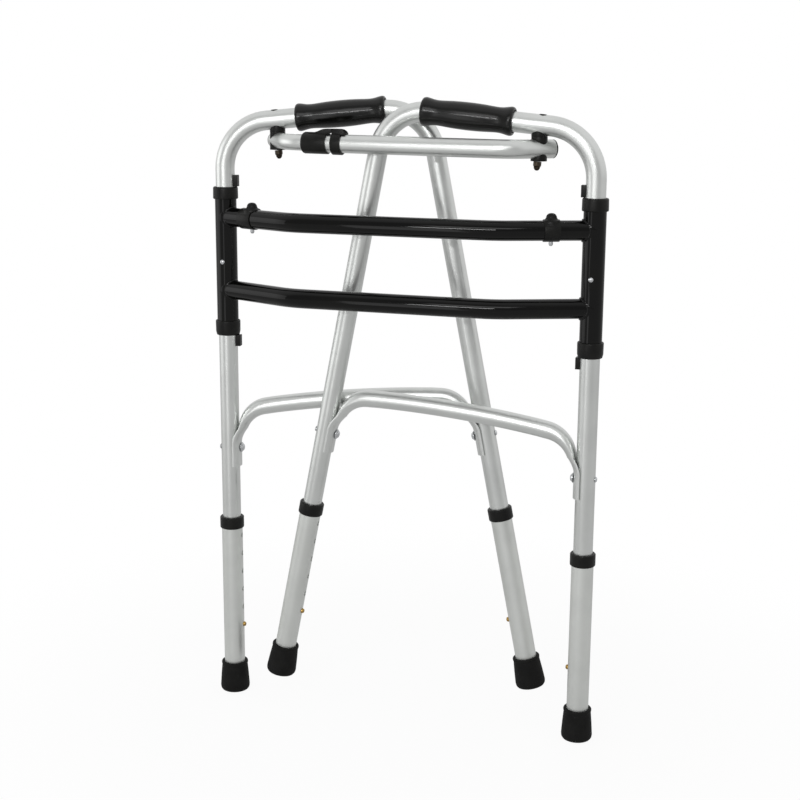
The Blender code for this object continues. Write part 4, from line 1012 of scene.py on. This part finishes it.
def pressed_ring(edge, inward, wall, blend):
    """A section between round and pressed, which starts at the leg's skin."""
    ring = []
    for step in range(RING):
        angle = math.tau * step / RING
        away = BRACE_RADIUS + (BRACE_RADIUS - wall) * math.cos(angle) + GAP
        depth = (BRACE_RADIUS - wall) * math.sin(angle)
        reach, wide = pressed_point(step / RING, wall)
        spot = edge + inward * (away + (reach - SKIN - away) * blend)
        ring.append((spot.x, spot.y, depth + (wide - depth) * blend))
    return ring


def round_ring(centre, normal, wall):
    """A round section whose first point lies on the side away from the leg."""
    ring = []
    for step in range(RING):
        angle = math.tau * step / RING
        spot = centre + normal * (BRACE_RADIUS - wall) * math.cos(angle)
        ring.append((spot.x, spot.y, (BRACE_RADIUS - wall) * math.sin(angle)))
    return ring


print("brace between", round(1000 * BRACE_SEAT), "and", round(1000 * BRACE_CROWN), "mm")

# %% [markdown]
# The rings follow the brace from its crown to one tip: along the flat arch, round the bend,
# and down the leg, where the section is pressed more and more. The bend starts where it has to
# for its end to run along the leg.

# %% Rings of the brace, from its crown to one tip
ARCH_STEPS = 8
BEND_STEPS = 18
LEG_STEPS = 8
BEND_BLEND = 0.56
FLAT_RUN = 0.0065
stand_off = SKIN + BRACE_RADIUS + GAP
arch = []
for step in range(ARCH_STEPS + 1):
    away = BRACE_REACH * step / ARCH_STEPS
    arch.append(Vector((-away, BRACE_CROWN - BRACE_ARCH * away ** 2)))
entering = Vector((-1, -2 * BRACE_ARCH * BRACE_REACH)).normalized()
across = leg_foot + leg_side * stand_off - arch[-1]
share = across.x * leg_line.y - across.y * leg_line.x
share = share / (entering.x * leg_line.y - entering.y * leg_line.x)
corner = arch[-1] + entering * share
turn = entering.angle(leg_line)
bend_start = corner - entering * BRACE_BEND * math.tan(turn / 2)
bend_centre = bend_start + Vector((-entering.y, entering.x)) * BRACE_BEND
flat_from = BRACE_SEAT + FLAT_RUN
bend_end = (bend_centre - leg_side * BRACE_BEND - leg_foot).dot(-leg_line)


def half_brace(wall):
    """The rings of one half of the brace, outside or inside its wall."""
    rings = []
    for centre in arch:
        line = Vector((-1, 2 * BRACE_ARCH * centre.x)).normalized()
        rings.append(round_ring(centre, Vector((-line.y, line.x)), wall))
    for step in range(BEND_STEPS + 1):
        part = step / BEND_STEPS
        inward = Matrix.Rotation(turn * part, 2) @ Vector((-entering.y, entering.x))
        edge = bend_centre - inward * (BRACE_BEND + BRACE_RADIUS)
        rings.append(pressed_ring(edge, inward, wall, BEND_BLEND * part ** 1.7))
    levels = []
    for step in range(1, LEG_STEPS + 1):
        part = step / LEG_STEPS
        blend = BEND_BLEND + (1 - BEND_BLEND) * math.sin(math.pi / 2 * part)
        levels.append((bend_end + (flat_from - bend_end) * part, blend))
    tip = BRACE_SEAT - BRACE_TAIL
    levels += [(BRACE_SEAT, 1.0), (tip + 0.0010, 1.0), (tip, 1.0)]
    for height, blend in levels:
        edge = leg_foot - leg_line * height + leg_side * SKIN
        rings.append(pressed_ring(edge, leg_side, wall, blend))
    return rings


def frame_point(point, sign):
    """A brace point in the side frame, on the front half or mirrored to the rear half."""
    u, v = frame_middle + sign * point[0], point[1]
    x = u * math.cos(SPLAY) - v * math.sin(SPLAY)
    z = u * math.sin(SPLAY) + v * math.cos(SPLAY)
    return Vector((x, point[2], z))


print("rings in a half:", len(half_brace(0.0)))

# %% [markdown]
# The outer and the inner rings are joined to two skins, and the tips close them to one wall.
# The bolt holes are cut through the pressed ends afterwards.

# %% Loft the brace and set it on both frames
shape = bmesh.new()
layers = []
for wall in (0.0, BRACE_WALL):
    half = half_brace(wall)
    whole = [[frame_point(point, 1) for point in ring] for ring in reversed(half)]
    whole += [[frame_point(point, -1) for point in ring] for ring in half[1:]]
    layers.append([[shape.verts.new(point) for point in ring] for ring in whole])
pairs = [pair for rings in layers for pair in zip(rings, rings[1:])]
pairs += [(layers[0][end], layers[1][end]) for end in (0, -1)]
for low, high in pairs:
    for index in range(RING):
        following = (index + 1) % RING
        shape.faces.new((low[index], low[following], high[following], high[index]))
bmesh.ops.recalc_face_normals(shape, faces=shape.faces)
mesh = bpy.data.meshes.new("brace_pattern")
shape.to_mesh(mesh)
shape.free()
brace = bpy.data.objects.new("brace_pattern", mesh)
bpy.context.scene.collection.objects.link(brace)
for leg in LEGS:
    low, high = [leg_axis[leg] @ Vector((reach, 0, BRACE_SEAT)) for reach in (0.006, 0.026)]
    bore(brace, BRACE_HOLE, low, high, HOLE_SIDES)
set_copies(
    brace, stand, "*_pressed_brace",
    "bright_anodised_aluminium", "*_side_frame", "*_brace",
)

# %% [markdown]
# ## Brace fasteners
#
# A fastener goes through each pressed end and the leg behind it: a domed head on a washer on
# the inner side, and a rounded head on the outer side. It is one turned piece.

# %% Brace bolts
crest = SKIN + PRESSED
far = MAIN_RADIUS + 0.0002
profile = [
    (0.0, crest + 0.0044),
    (0.0020, crest + 0.0043),
    (0.0038, crest + 0.0037),
    (0.0051, crest + 0.0025),
    (0.0057, crest + 0.0012),
    (0.0067, crest + 0.0012),
    (0.0067, crest + 0.0002),
    (0.0024, crest + 0.0002),
    (0.0024, -far),
    (0.0038, -far),
    (0.0036, -far - 0.0008),
    (0.0026, -far - 0.0016),
    (0.0012, -far - 0.0020),
    (0.0, -far - 0.0020),
]
bolt = turned("bolt_pattern", profile, SMALL_SIDES)
settle(bolt, axes(Vector((0, 0, BRACE_SEAT)), Vector((0, 0, -1)), Vector((1, 0, 0))))
soften(bolt, width=0.0002, segments=2, angle=40)
set_copies(
    bolt, leg_place, "*_brace_fastener",
    "zinc_plated_steel", "@_side_frame", "*_brace_bolt",
)

# %% [markdown]
# ## The telescopic link
#
# A tube from the right handle takes in a thinner one from the left handle. Both bow forward,
# so that they clear the crossing legs. Each is modelled on its own pivot with the other pivot
# along +X, and bends once. On the real one the right end hangs a little lower than the left
# one, so the line between the pivots slopes by that much.

# %% Link tubes
OUTER_DIAMETER = 0.0234
OUTER_WALL = 0.0006
INNER_DIAMETER = 0.0206
INNER_WALL = 0.0012
LINK_BOW = 0.033
LINK_ANGLE = math.radians(48)
LINK_BEND = 0.042
LINK_TAIL = {"left": 0.0105, "right": 0.019}
LINK_DROOP = {"left": -0.0022, "right": 0.0013}
LINK_MOUTH = 0.2985
INNER_REACH = 0.2440
LINK_BOLT = 0.0027

pivot = {}
for side in SIDES:
    pivot[side] = stand[side] @ Vector((PIVOT_DISTANCE, 0, LINK_HEIGHT - LINK_DROOP[side]))
between_pivots = (pivot["left"] - pivot["right"]).normalized()
link_up = (Z_AXIS - between_pivots * between_pivots.z).normalized()
link_place = {
    "right": axes(pivot["right"], between_pivots, link_up),
    "left": axes(pivot["left"], -between_pivots, link_up),
}
link_line, link_sizes = {}, {}
for side, bow in zip(SIDES, (-1, 1)):
    link_line[side] = Vector((math.cos(LINK_ANGLE), bow * math.sin(LINK_ANGLE), 0))
link_sizes["left"] = (INNER_DIAMETER, INNER_WALL, INNER_REACH, "link_inner")
link_sizes["right"] = (OUTER_DIAMETER, OUTER_WALL, LINK_MOUTH, "link_outer")
link_corner = LINK_BOW / math.sin(LINK_ANGLE)
link_tangent = LINK_BEND * math.tan(LINK_ANGLE / 2)
for side, bow in zip(SIDES, (-1, 1)):
    diameter, wall, reach, body = link_sizes[side]
    line = link_line[side]
    tail = LINK_TAIL[side]
    bend = (LINK_BEND, LINK_ANGLE, Z_AXIS * -bow)
    last_run = reach - link_corner * math.cos(LINK_ANGLE) - link_tangent
    course = [(tail + link_corner - link_tangent,), bend, (last_run,)]
    made = bent_tube(body + "_bent_tube", diameter, wall, line * -tail, line, course)
    clear = LINK_BOLT + diameter / 2 * math.tan(SPLAY) + GAP
    bore(made, clear, (0, 0, -0.02), (0, 0, 0.02), SMALL_SIDES)
    settle(made, link_place[side])
    hand_over(made, "bright_anodised_aluminium", body, body + "_tube")

# %% [markdown]
# ## Pivot spacers
#
# Under each handle moulded spacers fit the handle's round above and the link's round below.
# They are short turned bars, cut to the tubes that they meet and bored for the bolt. The two at
# the link ride with it and meet the handle's one at a flat.

# %% Spacers
SADDLE_RADIUS = 0.0102
FLAT_RISE = {"left": 0.0131, "right": 0.0137}
BASE_DROP = {"left": -0.0005, "right": 0.0044}


def spacer(name, low, high):
    """A short upright bar about the origin."""
    return turned(name, [(0.0, high), (SADDLE_RADIUS, high), (SADDLE_RADIUS, low), (0.0, low)])


for side in SIDES:
    diameter, wall, reach, body = link_sizes[side]
    radius = diameter / 2
    split = radius * 0.22
    line = link_line[side] * 0.03
    rise = FLAT_RISE[side]
    droop = LINK_DROOP[side]
    spans = {
        "upper": (split, rise + droop - GAP / 2),
        "lower": (-radius - BASE_DROP[side] + droop, -split),
    }
    for level, (low, high) in spans.items():
        made = spacer(side + "_" + level + "_link_spacer", low, high)
        bore(made, radius + GAP / 2, -line, line, SEAT_SIDES)
        clear = LINK_BOLT + max(abs(low), abs(high)) * math.tan(SPLAY) + GAP
        bore(made, clear, (0, 0, -0.03), (0, 0, 0.03), SMALL_SIDES)
        soften(made, width=0.0007, angle=50)
        settle(made, link_place[side])
        node = side + "_" + level + "_link_saddle"
        hand_over(made, "satin_moulded_nylon", body, node)
    flat = rise + GAP / 2 + HANDLE_DROP[side]
    made = spacer(side + "_handle_spacer", flat, handle_rise)
    settle(made, Matrix.Translation((PIVOT_DISTANCE, 0, LINK_HEIGHT)))
    low, high = [front_corner + handle_line * (PIVOT_DISTANCE + step) for step in (-0.03, 0.03)]
    bore(made, MAIN_RADIUS + GAP / 2, low, high, SEAT_SIDES)
    low, high = [pivot_place @ Vector((0, 0, height)) for height in (-0.01, 0.05)]
    bore(made, LINK_BOLT + 0.0004, low, high, SMALL_SIDES)
    soften(made, width=0.0007, angle=50)
    settle(made, handle_stand[side])
    body, node = side + "_side_frame", side + "_handle_saddle"
    hand_over(made, "satin_moulded_nylon", body, node)

# %% [markdown]
# ## Pivot bolts and nuts
#
# A bolt goes through the handle, the spacers and the link and ends in a dark acorn nut. The
# left one is cut short at the flat between the spacers and rides with the link, because the
# joint is opened there.

# %% Bolts and acorn nuts
NUT_RADIUS = 0.0051
NUT_HEIGHT = 0.0112
HEAD_RADIUS = 0.0045
HEAD_HEIGHT = 0.0040
head_seat = handle_rise - (MAIN_RADIUS - MAIN_WALL) + 0.0014
for side in SIDES:
    diameter, wall, reach, body = link_sizes[side]
    nut_top = -diameter / 2 - BASE_DROP[side] - NUT_RADIUS * math.sin(SPLAY) - GAP
    bolt_end = nut_top - NUT_HEIGHT * 0.6
    if side == "left":
        bolt_top = FLAT_RISE[side] - 2 * GAP
        profile = [(0.0, bolt_top), (LINK_BOLT, bolt_top)]
    else:
        head_top = head_seat + HEAD_HEIGHT
        profile = [(0.0, head_top), (HEAD_RADIUS, head_top), (HEAD_RADIUS, head_seat)]
        profile += [(LINK_BOLT, head_seat)]
        body = side + "_side_frame"
    profile += [(LINK_BOLT, bolt_end), (0.0, bolt_end)]
    made = turned(side + "_link_bolt", profile, SMALL_SIDES)
    settle(made, stand[side] @ pivot_place)
    hand_over(made, "zinc_plated_steel", body, side + "_pivot_bolt")
    base = nut_top - NUT_HEIGHT
    profile = [
        (NUT_RADIUS, nut_top),
        (NUT_RADIUS, nut_top - NUT_HEIGHT * 0.45),
        (NUT_RADIUS - 0.0009, nut_top - NUT_HEIGHT * 0.55),
        (NUT_RADIUS * 0.76, nut_top - NUT_HEIGHT * 0.72),
        (NUT_RADIUS * 0.58, nut_top - NUT_HEIGHT * 0.88),
        (NUT_RADIUS * 0.30, base + 0.0002),
        (0.0, base),
        (0.0, bolt_end - 0.0008),
        (LINK_BOLT + GAP, bolt_end - 0.0008),
        (LINK_BOLT + GAP, nut_top),
    ]
    made = turned_ring(side + "_domed_nut", profile)
    settle(made, stand[side] @ pivot_place)
    hand_over(made, "dark_oxide_steel", body, side + "_acorn_nut")

# %% [markdown]
# ## Plugs in the link's ends
#
# A thin black cap closes each free end of the link. Its rim shows as a dark line round the
# tube's end.

# %% Link plugs
PLUG_DEPTH = {"left": 0.0045, "right": 0.008}
PLUG_WALL = 0.0016
RIM = 0.0022
for side in SIDES:
    diameter, wall, reach, body = link_sizes[side]
    radius = diameter / 2
    plug = radius - wall - GAP
    depth = PLUG_DEPTH[side]
    profile = [
        (0.0, RIM),
        (radius - 0.0006, RIM),
        (radius, RIM - 0.0005),
        (radius, GAP / 2),
        (plug, GAP / 2),
        (plug, -depth),
        (plug - PLUG_WALL, -depth),
        (plug - PLUG_WALL, 0.0),
        (0.0, 0.0),
    ]
    made = turned(side + "_end_cap", profile)
    line = link_line[side]
    settle(made, link_place[side] @ axes(line * -LINK_TAIL[side], Z_AXIS, -line))
    hand_over(made, "satin_moulded_nylon", body, side + "_link_plug")

# %% [markdown]
# ## The link's lock
#
# At the outer tube's mouth sits the lock that holds the link at its length: a sleeve with a
# ramp on top, and behind it a ring with a block that the ramp rises to. The sleeve is turned on
# the link's line. The ramp is a slab, bored for the tube before the two are joined.

# %% Lock sleeve
LOCK_RADIUS = 0.0138
LOCK_LIP = 0.0050
LOCK_BACK = -0.0290
BLOCK_TOP = 0.0186
BLOCK_HALF = 0.0065
BLOCK_FOOT = 0.0110
RING_BACK = -0.0361
RING_START = LINK_MOUTH + RING_BACK
skin = OUTER_DIAMETER / 2 + GAP
mouth_bore = OUTER_DIAMETER / 2 - 0.0004
mouth = axes(Vector((LINK_MOUTH, LINK_BOW, 0)), Vector((0, 0, -1)), Vector((1, 0, 0)))
bow_line = Vector((0, LINK_BOW, 0))

profile = [
    (LOCK_RADIUS - 0.0017, LOCK_LIP),
    (LOCK_RADIUS - 0.0008, LOCK_LIP - 0.0009),
    (LOCK_RADIUS, LOCK_LIP - 0.0030),
    (LOCK_RADIUS, LOCK_BACK),
    (skin, LOCK_BACK),
    (skin, GAP),
    (mouth_bore, GAP),
    (mouth_bore, LOCK_LIP),
]
sleeve = settle(turned_ring("lock_sleeve_with_ramp", profile), mouth)
outline = [
    (LINK_MOUTH, BLOCK_FOOT),
    (LINK_MOUTH - 0.0060, LOCK_RADIUS - 0.0004),
    (LINK_MOUTH - 0.0120, LOCK_RADIUS + 0.0001),
    (LINK_MOUTH - 0.0160, LOCK_RADIUS + 0.0011),
    (LINK_MOUTH - 0.0215, LOCK_RADIUS + 0.0034),
    (LINK_MOUTH - 0.0250, BLOCK_TOP - 0.0003),
    (RING_START + 0.0005, BLOCK_TOP),
    (RING_START + 0.0005, BLOCK_TOP - 0.0045),
    (LINK_MOUTH + LOCK_BACK + 0.0005, skin + 0.0002),
    (LINK_MOUTH + LOCK_BACK + 0.0040, BLOCK_FOOT),
]
ramp = settle(slab("ramp", outline, BLOCK_HALF), Matrix.Translation(bow_line))
low, high = [Vector((LINK_MOUTH + step, LINK_BOW, 0)) for step in (-0.06, 0.01)]
bore(ramp, skin + GAP, low, high)
boolean(sleeve, ramp, "UNION")
soften(sleeve, width=0.0006, angle=40)
settle(sleeve, link_place["right"])
hand_over(sleeve, "satin_moulded_nylon", "link_outer", "link_lock_sleeve")

# %% [markdown]
# The ring clamps the outer tube behind the sleeve, with a gap in which the bare tube shows. Its
# block is a slab whose far end is rounded down.

# %% Lock ring
RING_RADIUS = 0.0143
RING_FAR = -0.0491
RING_CHAMFER = 0.0006
RING_END = LINK_MOUTH + RING_FAR

profile = [
    (RING_RADIUS - RING_CHAMFER, RING_BACK),
    (RING_RADIUS, RING_BACK - RING_CHAMFER),
    (RING_RADIUS, RING_FAR + RING_CHAMFER),
    (RING_RADIUS - RING_CHAMFER, RING_FAR),
    (skin - 0.001, RING_FAR),
    (skin - 0.001, RING_BACK),
]
ring = settle(turned_ring("lock_ring_with_block", profile), mouth)
outline = [
    (RING_START, BLOCK_FOOT),
    (RING_START, BLOCK_TOP - 0.0008),
    (RING_START - 0.0008, BLOCK_TOP),
    (RING_END + 0.0040, BLOCK_TOP),
    (RING_END + 0.0004, BLOCK_TOP - 0.0007),
    (RING_END - 0.0028, BLOCK_TOP - 0.0024),
    (RING_END - 0.0047, BLOCK_TOP - 0.0046),
    (RING_END - 0.0052, 0.0122),
    (RING_END - 0.0046, BLOCK_FOOT),
]
catch = slab("catch", outline, BLOCK_HALF)
boolean(ring, settle(catch, Matrix.Translation(bow_line)), "UNION")
low, high = [Vector((reach, LINK_BOW, 0)) for reach in (RING_END - 0.02, RING_START + 0.01)]
bore(ring, skin, low, high)
soften(ring, width=0.0006, angle=40)
settle(ring, link_place["right"])
hand_over(ring, "satin_moulded_nylon", "link_outer", "link_lock_ring")

# %% [markdown]
# ## The camera
#
# The camera stands where the photograph was taken from: in front, to the walker's right and a
# little above the handles. Its place, angles and focal length were solved from the edges of
# the tubes. Forward, right and up are worked out from the two angles and the small roll.

# %% Camera
CAMERA_PLACE = Vector((0.5652, -1.7683, 0.8597))
CAMERA_YAW = math.radians(-17.901)
CAMERA_PITCH = math.radians(12.647)
CAMERA_ROLL = math.radians(0.375)
FOCAL_PIXELS = 1422.7
IMAGE_WIDTH = 800
SENSOR_MM = 36.0

level = math.cos(CAMERA_PITCH)
forward = Vector(
    (math.sin(CAMERA_YAW) * level, math.cos(CAMERA_YAW) * level, -math.sin(CAMERA_PITCH))
)
level_right = Vector((math.cos(CAMERA_YAW), -math.sin(CAMERA_YAW), 0))
level_up = level_right.cross(forward)
right = level_right * math.cos(CAMERA_ROLL) + level_up * math.sin(CAMERA_ROLL)
up = level_up * math.cos(CAMERA_ROLL) - level_right * math.sin(CAMERA_ROLL)

bpy.ops.object.select_all(action="DESELECT")
bpy.ops.object.camera_add()
camera = named("photograph_camera")
turn = Matrix((right, up, -forward)).transposed().to_4x4()
camera.matrix_world = Matrix.Translation(CAMERA_PLACE) @ turn
camera.data.sensor_width = SENSOR_MM
camera.data.lens = SENSOR_MM * FOCAL_PIXELS / IMAGE_WIDTH
bpy.context.scene.camera = camera
print("lens in mm:", round(camera.data.lens, 2))

# %% [markdown]
# ## Floor
#
# The walker stands in a white studio. The floor is white paper that keeps the walker's shadow.
# It glows white for the camera and at about half that level in reflections. The glow is a little
# weaker near the walker, where the shadow lies, and full far from it, so that the floor's edge
# can't be seen. In a Mix node of numbers, inputs 0, 2 and 3 are the factor and the two values.

# %% Floor
PAPER_LEVEL = 0.55
NEAR, FAR = 0.25, 0.9
NEAR_SHARE = 0.93

bpy.ops.object.select_all(action="DESELECT")
bpy.ops.mesh.primitive_plane_add(size=40, location=(0, 0, -0.0002))
floor = named("studio_floor")
floor_paint, tree, shader = new_material("white_studio_floor")
shader.inputs["Base Color"].default_value = colour("#F4F4F4")
shader.inputs["Roughness"].default_value = 0.9
shader.inputs["Specular IOR Level"].default_value = 0.0
path = add_node(tree, "ShaderNodeLightPath", {})
rays = {0: (path, "Is Camera Ray"), 1: (path, "Is Glossy Ray")}
seen = add_node(tree, "ShaderNodeMath", rays, operation="MAXIMUM")
place = add_node(tree, "ShaderNodeTexCoord", {})
away = add_node(tree, "ShaderNodeVectorMath", {"Vector": (place, "Object")}, operation="LENGTH")
far_share = add_node(
    tree,
    "ShaderNodeMapRange",
    {"Value": (away, "Value"), "From Min": NEAR, "From Max": FAR, "To Min": NEAR_SHARE, "To Max": 1.0},
    interpolation_type="SMOOTHSTEP",
)
parts = {0: (seen, "Value"), 1: (far_share, "Result")}
share = add_node(tree, "ShaderNodeMath", parts, operation="MULTIPLY")
levels = {0: (path, "Is Camera Ray"), 2: PAPER_LEVEL, 3: 1.0}
level = add_node(tree, "ShaderNodeMix", levels, data_type="FLOAT")
glowing = {"Color": colour("#FFFFFF"), "Strength": (level, "Result")}
glow = add_node(tree, "ShaderNodeEmission", glowing)
both = {"Fac": (share, "Value"), 1: (shader, "BSDF"), 2: (glow, "Emission")}
mixed = add_node(tree, "ShaderNodeMixShader", both)
tree.links.new(mixed.outputs["Shader"], tree.nodes["Material Output"].inputs["Surface"])
floor.data.materials.append(floor_paint)
floor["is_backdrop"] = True
print("floor painted")

# %% [markdown]
# ## Surroundings
#
# The world is white where the camera sees it. It lights the walker with a plain grey-white
# level, so that the picture's white doesn't brighten it. In reflections it is darker on the
# side of the photographer, which gives the tubes their grey edges.

# %% World
SHED_LEVEL = 0.55
DARK_SIDE, LIGHT_SIDE = -0.70, -0.35
DARK_LEVEL, LIGHT_LEVEL = 0.38, 0.82

world = bpy.data.worlds.new("white_studio")
bpy.context.scene.world = world
world.use_nodes = True
tree = world.node_tree
path = add_node(tree, "ShaderNodeLightPath", {})
rays = {0: (path, "Is Camera Ray"), 1: (path, "Is Transmission Ray")}
seen = add_node(tree, "ShaderNodeMath", rays, operation="MAXIMUM")
direction = add_node(tree, "ShaderNodeTexCoord", {})
parts = add_node(tree, "ShaderNodeSeparateXYZ", {"Vector": (direction, "Generated")})
spread = dict(zip(("From Min", "From Max"), (DARK_SIDE, LIGHT_SIDE)))
spread.update(zip(("To Min", "To Max"), (DARK_LEVEL, LIGHT_LEVEL)))
front = add_node(
    tree, "ShaderNodeMapRange", {"Value": (parts, "Y"), **spread}, interpolation_type="SMOOTHSTEP"
)
levels = {0: (path, "Is Glossy Ray"), 2: SHED_LEVEL, 3: (front, "Result")}
level = add_node(tree, "ShaderNodeMix", levels, data_type="FLOAT")
levels = {0: (seen, "Value"), 2: (level, "Result"), 3: 1.0}
strength = add_node(tree, "ShaderNodeMix", levels, data_type="FLOAT")
background = tree.nodes["Background"]
background.inputs["Color"].default_value = colour("#FFFFFF")
tree.links.new(strength.outputs["Result"], background.inputs["Strength"])
print("world ready")

# %% [markdown]
# ## Lamps
#
# A long narrow box above the camera draws the white line along the tubes, and a broad one over
# it softens that line. A large box stands on the left, and a small low one brightens the left
# legs. Their power is low, so that a colour renders about as it is written.

# %% Lamps
def soft_box(name, place, aim_height, width, height, power):
    """A rectangular lamp that points at a height over the middle of the walker."""
    bpy.ops.object.select_all(action="DESELECT")
    bpy.ops.object.light_add(type="AREA", location=place)
    lamp = named(name)
    lamp.data.shape = "RECTANGLE"
    lamp.data.size = width
    lamp.data.size_y = height
    lamp.data.energy = power
    lamp.visible_camera = False
    aim = Vector((0, 0, aim_height)) - Vector(place)
    lamp.rotation_euler = aim.to_track_quat("-Z", "Y").to_euler()


soft_box("front_strip", (-0.1, -2.75, 1.28), aim_height=0.7, width=1.4, height=0.10, power=17)
soft_box("front_soft_box", (0.4, -2.5, 2.1), aim_height=0.7, width=2.4, height=0.7, power=13)
soft_box("left_soft_box", (-2.5, -0.95, 0.7), aim_height=0.6, width=1.9, height=2.0, power=10)
soft_box("low_front_box", (-0.42, -1.45, 0.42), aim_height=0.35, width=0.34, height=0.8, power=1.0)

# %% [markdown]
# ## Picture settings and the size of the dressed walker
#
# The standard view shows a colour as it is written. The box of the dressed walker is printed.

# %% Finish
bpy.context.scene.view_settings.view_transform = "Standard"
low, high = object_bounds()
print("dressed box in mm:", [round(1000 * side, 1) for side in high - low])
